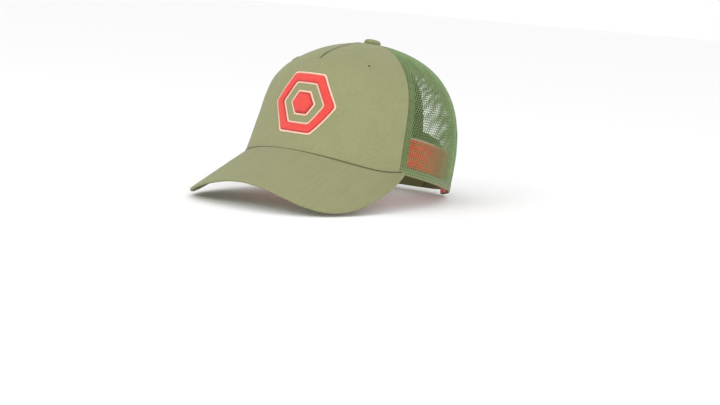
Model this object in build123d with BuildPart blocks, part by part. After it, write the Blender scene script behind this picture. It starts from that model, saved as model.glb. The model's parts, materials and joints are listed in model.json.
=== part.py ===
from build123d import *
import os
from math import acos, asin, atan2, cos, degrees, exp, hypot, pi, radians, sin, sqrt, tan

os.makedirs("parts", exist_ok=True)

# A five-panel trucker cap. It stands on a table on its visor's two front corners and the two
# corners of its rear arch, with the front towards -Y and the wearer's left towards +X.
# Everything is drawn in the frame of its rim, the plane of the head opening, and that frame is
# tilted and lifted to where the cap rests. Lengths are in millimetres, angles in degrees.

# Crown: outer face, measured from the crown's axis over the rim plane
half_width = 82.4
front_length = 97.4
rear_length = 107.0
crown_height = 111.1
# Power of the dome's curve, widening with height, and fall of the shoulder: front, sides, rear
dome_power = (1.412, 2.275, 2.844)
dome_flare = (0.237, 0.124, -0.017)
dome_shoulder = (0.085, 0.012, 0.013)
# The front panel's middle stands further out towards the top: how much, and over what angle
peak_rise = 0.62
peak_width = 31.9
pole_hole_radius = 2.5

# Seams, as girth angles: -90 is the centre of the front, 90 the centre of the rear
front_seam = -23.3
rear_seam = 27
back_seam = 90

# Cloth layers: depth of their outer and inner faces under the crown's outer face
mesh_layer = (0.0, 0.8)
twill_layer = (0.0, 0.9)
backing_layer = (0.95, 1.55)
hem_layer = (0.0, 1.5)
allowance_layer = (0.85, 1.5)
tape_layer = (1.6, 2.2)
tab_layer = (1.75, 2.85)
sweatband_layer = (3.0, 4.2)
hem_height = 7.0
allowance_width = 7.0
tape_width = 10.0
allowance_end_radius = 18.0
tape_end_radius = 12.0
layer_gap = 0.05

# Rear arch
arch_half_width = 44.0
arch_height = 47.0
arch_binding_width = 8.0

# Sweatband, with the raised piping along its top
sweatband_bottom = 0.8
sweatband_top = 31.5
piping_height = 1.6
sweatband_end = 54

# Visor: a sheet curled about its length and sloping down from the crown
visor_slope = 34.05
visor_curl_radius = 83.0
visor_edge_curl = 1.42e-7
visor_lift = 2.0
visor_depth = 50.0
visor_half_width = 81.2
visor_end = 31.5
visor_width_power = 3.0
visor_front_power = 3.18
# Narrowing of the visor towards its two ends, and how close to them it begins
visor_taper = 0.039
visor_taper_power = 6
visor_cover = 0.6
visor_board_thickness = 1.5
visor_thickness = visor_board_thickness + 2 * visor_cover + 2 * layer_gap
visor_tuck = 2.5
visor_board_inset = 1.0

# Dart at the top of the front panel, and the two eyelets
dart_height = 83.0
eyelet_station = -51.2
eyelet_height = 83.0
eyelet_radius = 3.9
eyelet_hole_radius = 1.4
eyelet_layer = (-0.6, -0.05)

# Button
button_radius = 7.1
button_height = 3.8
button_cloth = 0.6
button_edge = 1.6
rivet_radius = 2.3
rivet_cap_radius = 8.0
rivet_cap_thickness = 1.2
rivet_cap_drop = 2.6

# Embroidered emblem: a hexagon ring round a small hexagon
emblem_height = 42.5
emblem_radius = 30.0
emblem_stroke = 11.6
emblem_core_radius = 12.0
emblem_border = 1.7
emblem_corner = 3.0
border_layer = (-0.7, -0.05)
satin_layer = (-1.9, -0.75)

# Snap strap
strap_bottom = 4.5
strap_height = 19.0
strap_thickness = 1.2
strap_gap = 0.2
neck_x = 31.5
neck_clearance = 1.0
tab_start = 47
stud_count = 6
stud_pitch = 8.0
stud_radius = 1.5
stud_rise = 2.5
strap_hole_radius = 2.0
strap_end_margin = 5.0
strap_corner = 5.0
stud_tip_round = 0.5


def between(values, station):
    """Value at a girth angle, from those of the front at -90, the sides at 0 and the rear at 90."""
    front, side, rear = values
    place = sin(radians(station))
    return side + (rear - front) / 2 * place + ((front + rear) / 2 - side) * place**2


def peak(station):
    """Extra radius of the front panel's raised middle near the top, as a share."""
    gap = (station + 270) % 360 - 180
    return peak_rise * exp(-((gap / peak_width) ** 2))


def girth_point(station, depth=0.0):
    """Point of the rim outline, as x and y in the rim plane."""
    length = front_length if sin(radians(station)) < 0 else rear_length
    x = half_width * cos(radians(station))
    y = length * sin(radians(station))
    shrink = 1 - depth / hypot(x, y)
    return x * shrink, y * shrink


def crown_curve(station, depth, low, high=None):
    """Points (radius, height) up a layer's face, to a height or to the hole at the pole."""
    power = between(dome_power, station)
    flare = between(dome_flare, station)
    shoulder = between(dome_shoulder, station)
    reach = hypot(*girth_point(station, depth))
    height = crown_height - depth
    start = asin(max(low / height, 0) ** (power / 2))
    if high is None:
        end = acos((pole_hole_radius / (reach * (1 + flare) * (1 + peak(station)))) ** (power / 2))
        steps = 12
    else:
        end = asin((high / height) ** (power / 2))
        steps = 6
    points = []
    for step in range(steps + 1):
        turn = start + (end - start) * step / steps
        rise = sin(turn) ** (2 / power)
        dome = cos(turn) ** (2 / power) * (1 + flare * rise) * (1 + peak(station) * rise**3)
        points.append((reach * dome * (1 - shoulder * sin(2 * pi * rise)), height * rise))
    return points


def visor_drop(x):
    """Fall of the visor's top face beside its centre line, measured along the crown's axis."""
    return -x**2 / (2 * visor_curl_radius) - visor_edge_curl * x**4


def visor_fall_rate(x):
    return -x / visor_curl_radius - 4 * visor_edge_curl * x**3


def visor_top(x, y):
    """Height of the visor's top face over the rim plane."""
    return visor_lift + tan(radians(visor_slope)) * (y + front_length) + visor_drop(x)


def visor_outline(share, inset=0.0):
    """Point of the visor's free edge, for a share of the way from -1 to 1."""
    turn = radians(90 * share)
    across = abs(sin(turn)) ** (2 / visor_width_power)
    along = abs(cos(turn)) ** (2 / visor_front_power)
    taper = 1 - visor_taper * (1 - along) ** visor_taper_power
    x = (visor_half_width - inset) * taper * (across if share > 0 else -across)
    y = -visor_end - (front_length + visor_depth - visor_end - inset) * along
    return x, y


def rest_pose():
    """Tilt of the rim plane, and where its centre is, for a cap that stands on its four corners."""
    arch_corner = acos(arch_half_width / half_width)
    corner_y = rear_length * sin(arch_corner)
    edge = []
    for step in range(101):
        x, y = visor_outline(step / 50 - 1)
        stretch = sqrt(1 + tan(radians(visor_slope)) ** 2 + visor_fall_rate(x) ** 2)
        edge.append((y, visor_top(x, y) - visor_thickness * stretch))
    tilt = max(atan2(-z, corner_y - y) for y, z in edge)
    front = min(y * cos(tilt) + z * sin(tilt) for y, z in edge)
    rear = max(y * cos(tilt) + z * sin(tilt) for y, z in crown_curve(90, 0, 0))
    return degrees(tilt), -(front + rear) / 2, corner_y * sin(tilt)


rest_tilt, rim_y, rim_z = rest_pose()
rim_up = Vector(0, sin(radians(rest_tilt)), cos(radians(rest_tilt)))
rim = Plane(origin=(0, rim_y, rim_z), x_dir=(1, 0, 0), z_dir=rim_up)
# The upright plane across the cap: x to the wearer's left, y up the crown, facing the front
facing = Plane(origin=rim.origin, x_dir=(1, 0, 0), z_dir=-rim.y_dir)
print("rest tilt", round(rest_tilt, 2), "rim centre", round(rim_y, 2), round(rim_z, 2))


def radial_plane(station):
    """Plane through the crown's axis: x outward along the rim plane, y up the axis."""
    x, y = girth_point(station)
    outward = (rim.x_dir * x + rim.y_dir * y).normalized()
    return Plane(origin=rim.origin, x_dir=outward, z_dir=outward.cross(rim_up))


def stations_between(first, last, step=8):
    count = max(2, round(abs(last - first) / step))
    return [first + (last - first) * i / count for i in range(count + 1)]


def cloth_layer(stations, layer, low=0.0, high=None):
    """A cloth layer of the crown, lofted through its radial sections."""
    with BuildPart() as cloth:
        for station in stations:
            outer = crown_curve(station, layer[0], low, high)
            inner = crown_curve(station, layer[1], low, high)
            with BuildSketch(radial_plane(station)):
                with BuildLine():
                    Spline(*outer)
                    Line(outer[-1], inner[-1])
                    Spline(*reversed(inner))
                    Line(inner[0], outer[0])
                make_face()
        loft()
    return cloth.part


def mirrored(station, side):
    """Girth angle on the wearer's left, or its mirror image on the right."""
    return station if side == "left" else 180 - station


def strip_space(station, first_edge, last_edge, end_radius):
    """Space over a seam with an even width, from the rim to short of the pole."""
    reach = 130
    outward = radial_plane(station).x_dir
    with BuildPart() as space:
        with BuildSketch(Plane(origin=rim.origin, x_dir=outward, z_dir=rim_up)):
            with Locations(((end_radius + reach) / 2, (first_edge + last_edge) / 2)):
                Rectangle(reach - end_radius, last_edge - first_edge)
        extrude(amount=crown_height + 10)
    return space.part


def arch_space(grow):
    """Space through the crown's rear inside the arch, grown by a margin."""
    with BuildPart() as space:
        with BuildSketch(facing):
            Ellipse(arch_half_width + grow, arch_height + grow)
        extrude(amount=-rear_length - 20)
    return space.part


def finish(piece, label):
    piece.part.label = label
    export_step(piece.part, "parts/" + label + ".step")


# ---- Visor ----
slope_turn = radians(visor_slope)
visor_run = (rim.y_dir * -cos(slope_turn) + rim.z_dir * -sin(slope_turn)).normalized()
visor_root = rim.from_local_coords((0, -front_length, visor_lift))
visor_section = Plane(origin=visor_root, x_dir=(1, 0, 0), z_dir=visor_run)


def visor_curve(depth):
    """The visor's cross-section, at a depth square to its top face."""
    points = []
    for x in range(-96, 97, 16):
        rate = visor_fall_rate(x) * cos(slope_turn)
        length = hypot(1, rate)
        y = visor_drop(x) * cos(slope_turn)
        points.append((x + depth * rate / length, y - depth / length))
    return points


def visor_sheet(top, bottom, inset=0.0):
    """A curled sheet between two depths, cut to the visor's outline and tucked under the crown."""
    upper = visor_curve(top)
    lower = visor_curve(bottom)
    edge = [visor_outline(step / 10 - 1, inset) for step in range(21)]
    inner_x = 0.6 * half_width
    inner_y = -0.7 * visor_end
    with BuildPart() as sheet:
        with BuildSketch(visor_section):
            with BuildLine():
                Spline(*upper)
                Line(upper[-1], lower[-1])
                Spline(*reversed(lower))
                Line(lower[0], upper[0])
            make_face()
        extrude(amount=120, both=True)
        with BuildSketch(rim):
            with BuildLine():
                Spline(*edge)
                Polyline(edge[-1], (inner_x, inner_y), (-inner_x, inner_y), edge[0])
            make_face()
            Ellipse(half_width - visor_tuck, front_length - visor_tuck, mode=Mode.SUBTRACT)
        extrude(amount=100, both=True, mode=Mode.INTERSECT)
    return sheet.part


board_top = visor_cover + layer_gap
board_bottom = board_top + visor_board_thickness
under_cover_top = board_bottom + layer_gap
visor_space = visor_sheet(-layer_gap, visor_thickness + 6)

with BuildPart() as visor_top_cover:
    add(visor_sheet(0, visor_thickness))
    add(visor_sheet(visor_cover, visor_thickness + 1, visor_board_inset - layer_gap), mode=Mode.SUBTRACT)
finish(visor_top_cover, "visor_top_cover")

with BuildPart() as visor_board:
    add(visor_sheet(board_top, board_bottom, visor_board_inset))
finish(visor_board, "visor_board")

with BuildPart() as visor_under_cover:
    add(visor_sheet(under_cover_top, visor_thickness, visor_board_inset))
finish(visor_under_cover, "visor_under_cover")

# ---- Front panel and its backing, pierced by the eyelets ----


def eyelet_plane(side):
    """Plane on the crown's outer face at an eyelet, looking outward."""
    corners = []
    for station, height in ((0, 0), (2, 0), (0, 2)):
        level = eyelet_height + height
        curve = crown_curve(eyelet_station + station, 0, level, level + 1)
        corners.append(radial_plane(mirrored(eyelet_station + station, side)).from_local_coords(curve[0]))
    outward = (corners[1] - corners[0]).cross(corners[2] - corners[0])
    return Plane(origin=corners[0], z_dir=outward if side == "left" else -outward)


def eyelet_ring(side, radius, hole_radius=0.0):
    """A short tube or rod through the crown at an eyelet."""
    with BuildPart() as ring:
        with BuildSketch(eyelet_plane(side)):
            Circle(radius)
            if hole_radius:
                Circle(hole_radius, mode=Mode.SUBTRACT)
        extrude(amount=8, both=True)
    return ring.part


front_stations = stations_between(180 - front_seam, 360 + front_seam)
with BuildPart() as front_panel:
    add(cloth_layer(front_stations, twill_layer))
    add(visor_space, mode=Mode.SUBTRACT)
    for side in ("left", "right"):
        add(eyelet_ring(side, eyelet_hole_radius), mode=Mode.SUBTRACT)
finish(front_panel, "front_panel")

with BuildPart() as front_backing:
    add(cloth_layer(front_stations, backing_layer))
    add(visor_space, mode=Mode.SUBTRACT)
    for side in ("left", "right"):
        add(eyelet_ring(side, eyelet_hole_radius), mode=Mode.SUBTRACT)
finish(front_backing, "front_backing")

for side in ("left", "right"):
    with BuildPart() as eyelet:
        around = [mirrored(eyelet_station + turn, side) for turn in (-8, 0, 8)]
        add(cloth_layer(around, eyelet_layer, eyelet_height - 8, eyelet_height + 8))
        add(eyelet_ring(side, eyelet_radius, eyelet_hole_radius), mode=Mode.INTERSECT)
    finish(eyelet, "eyelet_" + side)

with BuildPart() as dart_tape:
    add(cloth_layer(stations_between(-106, -74), tape_layer, dart_height))
    dart_space = strip_space(-90, -tape_width / 2, tape_width / 2, tape_end_radius)
    add(dart_space, mode=Mode.INTERSECT)
finish(dart_tape, "dart_tape")

# ---- Mesh panels, hem, seam allowances and seam tapes ----
panel_bottom = hem_height + layer_gap
for side in ("left", "right"):
    with BuildPart() as side_mesh:
        spread = stations_between(mirrored(front_seam, side), mirrored(rear_seam, side))
        add(cloth_layer(spread, mesh_layer, panel_bottom))
    finish(side_mesh, "side_mesh_" + side)

    with BuildPart() as back_mesh:
        spread = stations_between(mirrored(rear_seam, side), back_seam)
        add(cloth_layer(spread, mesh_layer, panel_bottom))
        add(arch_space(arch_binding_width + layer_gap), mode=Mode.SUBTRACT)
    finish(back_mesh, "back_mesh_" + side)

    with BuildPart() as mesh_hem:
        spread = stations_between(mirrored(front_seam, side), mirrored(64, side))
        add(cloth_layer(spread, hem_layer, 0, hem_height))
        add(arch_space(arch_binding_width + layer_gap), mode=Mode.SUBTRACT)
        add(visor_space, mode=Mode.SUBTRACT)
    finish(mesh_hem, "mesh_hem_" + side)

    # The front seam's mesh is folded back on the mesh side only, the rear seam's on both sides
    inward = 0 if side == "left" else -allowance_width
    for name, station, edges in (
        ("front", mirrored(front_seam, side), (inward, inward + allowance_width)),
        ("rear", mirrored(rear_seam, side), (-allowance_width, allowance_width)),
    ):
        with BuildPart() as seam_allowance:
            around = stations_between(station - 16, station + 16)
            add(cloth_layer(around, allowance_layer, panel_bottom))
            seam_space = strip_space(station, edges[0], edges[1], allowance_end_radius)
            add(seam_space, mode=Mode.INTERSECT)
        finish(seam_allowance, "seam_allowance_" + name + "_" + side)

        with BuildPart() as seam_tape:
            add(cloth_layer(around, tape_layer, panel_bottom))
            seam_space = strip_space(station, -tape_width / 2, tape_width / 2, tape_end_radius)
            add(seam_space, mode=Mode.INTERSECT)
        finish(seam_tape, "seam_tape_" + name + "_" + side)

above_arch = arch_height + arch_binding_width + 1
for name, layer, half, end_radius in (
    ("seam_allowance_back", allowance_layer, allowance_width, allowance_end_radius),
    ("seam_tape_back", tape_layer, tape_width / 2, tape_end_radius),
):
    with BuildPart() as back_strip:
        add(cloth_layer(stations_between(back_seam - 16, back_seam + 16), layer, above_arch))
        add(strip_space(back_seam, -half, half, end_radius), mode=Mode.INTERSECT)
    finish(back_strip, name)

with BuildPart() as arch_binding:
    add(cloth_layer(stations_between(42, 138), hem_layer, 0, arch_height + 20))
    add(arch_space(arch_binding_width), mode=Mode.INTERSECT)
    add(arch_space(0), mode=Mode.SUBTRACT)
finish(arch_binding, "arch_binding")

# ---- Sweatband ----
band_stations = stations_between(180 - sweatband_end, 360 + sweatband_end)
with BuildPart() as sweatband:
    add(cloth_layer(band_stations, sweatband_layer, sweatband_bottom, sweatband_top))
finish(sweatband, "sweatband")

with BuildPart() as sweatband_piping:
    piping_bottom = sweatband_top + layer_gap
    piping_top = piping_bottom + piping_height
    add(cloth_layer(band_stations, sweatband_layer, piping_bottom, piping_top))
finish(sweatband_piping, "sweatband_piping")

# ---- Button ----
button_base = crown_height + 0.1
core_top = button_height - button_cloth
core_radius = button_radius - button_cloth
with BuildPart() as button_shell:
    with BuildSketch(rim.offset(button_base)):
        Circle(core_radius - layer_gap)
    extrude(amount=core_top - layer_gap)
    fillet(button_shell.faces().sort_by(Axis.Z)[-1].edges(), button_edge)
    with BuildSketch(rim.offset(button_base)):
        Circle(rivet_radius)
    extrude(amount=core_top - 2, mode=Mode.SUBTRACT)
finish(button_shell, "button_shell")

with BuildPart() as core_space:
    with BuildSketch(rim.offset(button_base)):
        Circle(core_radius)
    extrude(amount=core_top)
    fillet(core_space.faces().sort_by(Axis.Z)[-1].edges(), button_edge)

with BuildPart() as button_cover:
    with BuildSketch(rim.offset(button_base)):
        Circle(button_radius)
    extrude(amount=button_height)
    fillet(button_cover.faces().sort_by(Axis.Z)[-1].edges(), button_edge + button_cloth)
    add(core_space.part, mode=Mode.SUBTRACT)
finish(button_cover, "button_cover")

with BuildPart() as button_rivet:
    with BuildSketch(rim.offset(crown_height - rivet_cap_drop - rivet_cap_thickness)):
        Circle(rivet_cap_radius)
    extrude(amount=rivet_cap_thickness)
    fillet(button_rivet.faces().sort_by(Axis.Z)[0].edges(), rivet_cap_thickness / 2)
    with BuildSketch(rim.offset(crown_height - rivet_cap_drop)):
        Circle(rivet_radius - layer_gap)
    extrude(amount=rivet_cap_drop + core_top - 2)
finish(button_rivet, "button_rivet")

# ---- Emblem ----


def hexagon_space(radius):
    """Hexagonal space with rounded corners, two of them at its sides, through the front panel."""
    with BuildPart() as space:
        with BuildSketch(facing.shift_origin(facing.from_local_coords((0, emblem_height, 0)))) as hexagon:
            RegularPolygon(radius, 6)
            fillet(hexagon.vertices(), emblem_corner)
        extrude(amount=front_length + 20)
    return space.part


def emblem_ring(layer, outer_radius, inner_radius):
    """One level of embroidery between two hexagons."""
    with BuildPart() as ring:
        add(cloth_layer(stations_between(-130, -50), layer, 10, 78))
        add(hexagon_space(outer_radius), mode=Mode.INTERSECT)
        if inner_radius:
            add(hexagon_space(inner_radius), mode=Mode.SUBTRACT)
    return ring.part


ring_inner = emblem_radius - emblem_stroke
ring_satin = (emblem_radius - emblem_border, ring_inner + emblem_border)
with BuildPart() as emblem_border_ring:
    add(emblem_ring(border_layer, emblem_radius, ring_inner))
finish(emblem_border_ring, "emblem_border_ring")

with BuildPart() as emblem_border_core:
    add(emblem_ring(border_layer, emblem_core_radius, 0))
finish(emblem_border_core, "emblem_border_core")

with BuildPart() as emblem_satin_ring:
    add(emblem_ring(satin_layer, *ring_satin))
finish(emblem_satin_ring, "emblem_satin_ring")

with BuildPart() as emblem_satin_core:
    add(emblem_ring(satin_layer, emblem_core_radius - emblem_border, 0))
finish(emblem_satin_core, "emblem_satin_core")

# ---- Snap strap ----
# Each tab ends just short of its neck, where the tongue bends. The tongues lie flat on each other
# between the two necks, one on each side of the tabs' middle depth.
strap_middle = strap_bottom + strap_height / 2
neck_station = degrees(acos((neck_x + strap_thickness / 2 + neck_clearance) / half_width))
strap_y = girth_point(neck_station, sum(tab_layer) / 2)[1] + strap_gap / 2
print("strap plane", round(strap_y, 2), "strap middle", strap_middle)
tongue_reach = (stud_count - 1) * stud_pitch / 2 + strap_end_margin
stud_places = [(stud_pitch * (i - stud_count / 2), 0) for i in range(stud_count)]


def strap_plane(y):
    """Plane across the arch at a distance behind the crown's axis, facing forward."""
    return Plane(
        origin=rim.from_local_coords((0, y, strap_middle)), x_dir=(1, 0, 0), z_dir=-rim.y_dir
    )


def tongue_blank(sign, front_y):
    """A flat tongue from its neck across the arch, with two rounded corners at its free end."""
    free_end = -sign * (tongue_reach - stud_pitch / 2)
    length = abs(sign * neck_x - free_end)
    with BuildPart() as blank:
        with BuildSketch(strap_plane(front_y)) as outline:
            with Locations(((sign * neck_x + free_end) / 2, 0)):
                Rectangle(length, strap_height)
            free_corners = outline.vertices().group_by(Axis.X)[0 if sign > 0 else -1]
            fillet(free_corners, strap_corner)
        extrude(amount=-strap_thickness)
        with BuildSketch(rim.offset(strap_bottom)):
            with Locations((sign * neck_x, front_y + strap_thickness / 2)):
                Circle(strap_thickness / 2)
        extrude(amount=strap_height)
    return blank.part


with BuildPart() as strap_holes:
    add(tongue_blank(1, strap_y))
    with BuildSketch(strap_plane(strap_y)):
        with Locations(*[(-x, y) for x, y in stud_places]):
            Circle(strap_hole_radius)
    extrude(amount=5, both=True, mode=Mode.SUBTRACT)
finish(strap_holes, "strap_holes")

# The studs rise from the inner tongue's outer face and pass through the outer tongue's holes
inner_strap_y = strap_y - strap_gap - strap_thickness
with BuildPart() as strap_studs:
    add(tongue_blank(-1, inner_strap_y))
    with BuildSketch(strap_plane(strap_y - strap_gap)):
        with Locations(*stud_places):
            Circle(stud_radius)
    extrude(amount=-stud_rise)
    tips = strap_studs.faces().sort_by(Axis(rim.origin, rim.y_dir))[-stud_count:]
    fillet(tips.edges(), stud_tip_round)
finish(strap_studs, "strap_studs")

for side in ("left", "right"):
    with BuildPart() as strap_tab:
        spread = stations_between(mirrored(tab_start, side), mirrored(neck_station, side), 6)
        add(cloth_layer(spread, tab_layer, strap_bottom, strap_bottom + strap_height))
    finish(strap_tab, "strap_tab_" + side)
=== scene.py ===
import json
import math

import bpy
import numpy as np
from mathutils import Matrix, Vector


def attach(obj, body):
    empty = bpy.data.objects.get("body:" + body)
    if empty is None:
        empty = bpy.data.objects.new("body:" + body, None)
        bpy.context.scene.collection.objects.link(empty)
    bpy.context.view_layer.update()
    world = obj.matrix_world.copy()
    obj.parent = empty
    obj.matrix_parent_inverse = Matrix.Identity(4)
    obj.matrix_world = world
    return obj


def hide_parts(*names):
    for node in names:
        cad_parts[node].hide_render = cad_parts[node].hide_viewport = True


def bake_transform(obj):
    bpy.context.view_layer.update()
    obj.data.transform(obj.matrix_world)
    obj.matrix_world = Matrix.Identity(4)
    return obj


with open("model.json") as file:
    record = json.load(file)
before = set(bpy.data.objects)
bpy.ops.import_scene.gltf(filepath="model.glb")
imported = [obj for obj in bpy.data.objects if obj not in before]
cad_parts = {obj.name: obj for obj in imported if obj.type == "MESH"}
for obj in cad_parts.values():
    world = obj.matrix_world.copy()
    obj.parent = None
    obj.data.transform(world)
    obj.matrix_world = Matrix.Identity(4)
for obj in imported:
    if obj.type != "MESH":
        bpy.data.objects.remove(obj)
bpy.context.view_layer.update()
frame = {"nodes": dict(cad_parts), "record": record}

# The cap is drawn in the frame of its rim, in millimetres: x to the wearer's left, y to the rear,
# z up the crown's axis. to_world() places such points in the row frame, in metres.

# ---- Rim frame, from the record ----
MOUNTS = {mount["name"]: mount for mount in frame["record"]["mounts"]}
RIM_CENTRE = np.array(MOUNTS["head_opening"]["pos_m"], float)
RIM_UP = -np.array(MOUNTS["head_opening"]["axis"], float)
RIM_UP /= np.linalg.norm(RIM_UP)
RIM_X = np.array([1.0, 0.0, 0.0])
RIM_Y = np.cross(RIM_UP, RIM_X)
AXES = np.array([RIM_X, RIM_Y, RIM_UP])
CAP = "cap"

# ---- Sizes of the crown, the same as the CAD model's ----
HALF_WIDTH, FRONT_LENGTH, REAR_LENGTH, CROWN_HEIGHT = 82.4, 97.4, 107.0, 111.1
DOME_POWER = (1.412, 2.275, 2.844)
DOME_FLARE = (0.237, 0.124, -0.017)
DOME_SHOULDER = (0.085, 0.012, 0.013)
PEAK_RISE, PEAK_WIDTH = 0.62, 31.9
FRONT_SEAM, REAR_SEAM, BACK_SEAM = -23.3, 27.0, 90.0
POLE_GAP = 3.2
CELL_PITCH = 2.4
HEM_HEIGHT = 7.0
ARCH_HALF_WIDTH, ARCH_HEIGHT, BINDING_WIDTH = 44.0, 47.0, 8.0
SWEATBAND_BOTTOM, SWEATBAND_TOP, SWEATBAND_END = 0.8, 31.5, 54.0
EYELET_STATION, EYELET_HEIGHT, EYELET_HOLE, EYELET_REACH = 51.2, 83.0, 1.3, 3.5
DART_HEIGHT = 83.0
EMBLEM_HEIGHT, EMBLEM_RADIUS, EMBLEM_RING_WIDTH = 42.5, 30.0, 11.6

# ---- Sizes of the visor ----
VISOR_SLOPE = math.tan(math.radians(34.05))
VISOR_CURL_RADIUS, VISOR_EDGE_CURL, VISOR_LIFT = 83.0, 1.42e-7, 2.0
VISOR_DEPTH, VISOR_HALF_WIDTH, VISOR_END = 50.0, 81.2, 31.5
VISOR_WIDTH_POWER, VISOR_FRONT_POWER = 3.0, 3.18
VISOR_TAPER, VISOR_TAPER_POWER = 0.039, 6
VISOR_THICKNESS = 2.8
VISOR_DROOP = 1.0

# ---- Snap strap ----
STRAP_BOTTOM, STRAP_HEIGHT, STRAP_THICKNESS, STRAP_GAP = 4.5, 19.0, 1.2, 0.2
STRAP_CORNER = 5.0
NECK_X, TAB_STATION = 31.5, 47.0
STUD_COUNT, STUD_PITCH, STUD_HOLE_RADIUS = 6, 8.0, 2.0


def to_world(points):
    """Points in the rim frame, in millimetres, as points in the row frame, in metres."""
    return RIM_CENTRE + (np.asarray(points, float) * 0.001) @ AXES


def between(values, station):
    """Value at a girth angle, from those of the front at -90, the sides at 0 and the rear at 90."""
    front, side, rear = values
    place = np.sin(np.radians(station))
    return side + (rear - front) / 2 * place + ((front + rear) / 2 - side) * place**2


def unit(vectors):
    return vectors / np.maximum(np.linalg.norm(vectors, axis=-1, keepdims=True), 1e-12)


def smooth(value):
    """A soft step: 0 below 0, 1 above 1."""
    t = np.clip(value, 0, 1)
    return t * t * (3 - 2 * t)


def ripple(points, wavelength, seed):
    """A wandering value of about -1 to 1 over points in millimetres."""
    rng = np.random.default_rng(seed)
    total = np.zeros(points.shape[:-1])
    for _ in range(7):
        direction = unit(rng.normal(size=3)) * 2 * math.pi / wavelength * rng.uniform(0.6, 1.5)
        total += np.sin(points @ direction + rng.uniform(0, 2 * math.pi))
    return total / 3.0


# ---- Crown surface: a table of meridians, each measured along its own length ----
TABLE_STEP = 0.5
TABLE_RUNS = 400


def wrap(station):
    return (np.asarray(station, float) + 180.0) % 360.0 - 180.0


def side_length(station):
    return np.where(np.sin(np.radians(station)) < 0, FRONT_LENGTH, REAR_LENGTH)


def peak(station):
    """Extra radius of the front panel's raised middle near the top, as a share."""
    gap = (np.asarray(station, float) + 270) % 360 - 180
    return PEAK_RISE * np.exp(-((gap / PEAK_WIDTH) ** 2))


def dome(station, rise):
    """Crown radius at a share of its height, as a share of the radius at the rim."""
    power = between(DOME_POWER, station)
    rise = np.clip(rise, 0, 1)
    flare = 1 + between(DOME_FLARE, station) * rise
    shoulder = 1 - between(DOME_SHOULDER, station) * np.sin(2 * math.pi * rise)
    lift = 1 + peak(station) * rise**3
    return np.clip(1 - rise**power, 0, 1) ** (1 / power) * flare * shoulder * lift


def make_meridians():
    stations = np.arange(-180, 180 + TABLE_STEP, TABLE_STEP)
    radius = np.zeros((len(stations), TABLE_RUNS + 1))
    height = np.zeros_like(radius)
    length = np.zeros(len(stations))
    turn = np.linspace(0, math.pi / 2, 1500)
    for i, station in enumerate(stations):
        rise = np.sin(turn) ** (2 / between(DOME_POWER, station))
        x = HALF_WIDTH * math.cos(math.radians(station))
        y = side_length(station) * math.sin(math.radians(station))
        r = math.hypot(x, y) * dome(station, rise)
        z = CROWN_HEIGHT * rise
        run = np.concatenate([[0], np.cumsum(np.hypot(np.diff(r), np.diff(z)))])
        even = np.linspace(0, run[-1], TABLE_RUNS + 1)
        radius[i] = np.interp(even, run, r)
        height[i] = np.interp(even, run, z)
        length[i] = run[-1]
    return radius, height, length


MERIDIAN_RADIUS, MERIDIAN_HEIGHT, MERIDIAN_LENGTH = make_meridians()


def table_place(station):
    """The meridian table's row below a girth angle, and how far on the angle is to the next row."""
    place = (wrap(station) + 180) / TABLE_STEP
    low = np.clip(np.floor(place).astype(int), 0, len(MERIDIAN_LENGTH) - 2)
    return low, place - low


def meridian_length(station):
    low, part = table_place(station)
    return MERIDIAN_LENGTH[low] * (1 - part) + MERIDIAN_LENGTH[low + 1] * part


def crown_base(station, run):
    """Point of the crown's outer face at a girth angle and a run up its meridian."""
    station, run = np.broadcast_arrays(wrap(station), np.asarray(run, float))
    low, part = table_place(station)
    share = np.clip(run / meridian_length(station), 0, 1) * TABLE_RUNS
    step = np.clip(np.floor(share).astype(int), 0, TABLE_RUNS - 1)
    rest = share - step

    def look_up(table):
        first = table[low, step] * (1 - rest) + table[low, step + 1] * rest
        second = table[low + 1, step] * (1 - rest) + table[low + 1, step + 1] * rest
        return first * (1 - part) + second * part

    radius = look_up(MERIDIAN_RADIUS)
    height = look_up(MERIDIAN_HEIGHT) + np.minimum(run, 0)
    x = HALF_WIDTH * np.cos(np.radians(station))
    y = side_length(station) * np.sin(np.radians(station))
    size = np.hypot(x, y)
    return np.stack([radius * x / size, radius * y / size, height], -1)


def crown_normal(station, run):
    across = crown_base(station + 0.6, run) - crown_base(station - 0.6, run)
    along = crown_base(station, run + 0.8) - crown_base(station, run - 0.8)
    return unit(np.cross(across, along))


def crown_facing(x, z, rear=False):
    """Point of the crown's outer face seen from straight ahead or behind, and its girth angle."""
    x, z = np.broadcast_arrays(np.asarray(x, float), np.asarray(z, float))
    rise = np.clip(z / CROWN_HEIGHT, 0, 0.9999)
    sign = 1.0 if rear else -1.0
    station = np.full(x.shape, 90.0 * sign)
    for _ in range(12):
        ratio = np.clip(x / (HALF_WIDTH * dome(station, rise)), -1, 1)
        station = sign * np.degrees(np.arccos(ratio))
    y = side_length(station) * dome(station, rise) * np.sin(np.radians(station))
    return np.stack([x, y, z], -1), station


def seam_distance(station, run, seam):
    """Distance in millimetres, across the crown, from a seam's meridian."""
    gap = wrap(np.asarray(station, float) - seam)
    spacing = np.linalg.norm(crown_base(station + 0.5, run) - crown_base(station - 0.5, run), axis=-1)
    return gap * spacing


def sway(points, station, run):
    """How far the cloth wanders in or out between its seams, in millimetres."""
    nearest = np.full(points.shape[:-1], 1e3)
    for seam in (FRONT_SEAM, 180 - FRONT_SEAM, REAR_SEAM, 180 - REAR_SEAM, BACK_SEAM):
        nearest = np.minimum(nearest, np.abs(seam_distance(station, run, seam)))
    hold = smooth(nearest / 16) * smooth((np.asarray(run) - 4) / 16)
    hold = hold * smooth((meridian_length(station) - run) / 22)
    return hold * (0.45 * ripple(points, 62, 3) + 0.16 * ripple(points, 21, 4))


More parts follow.
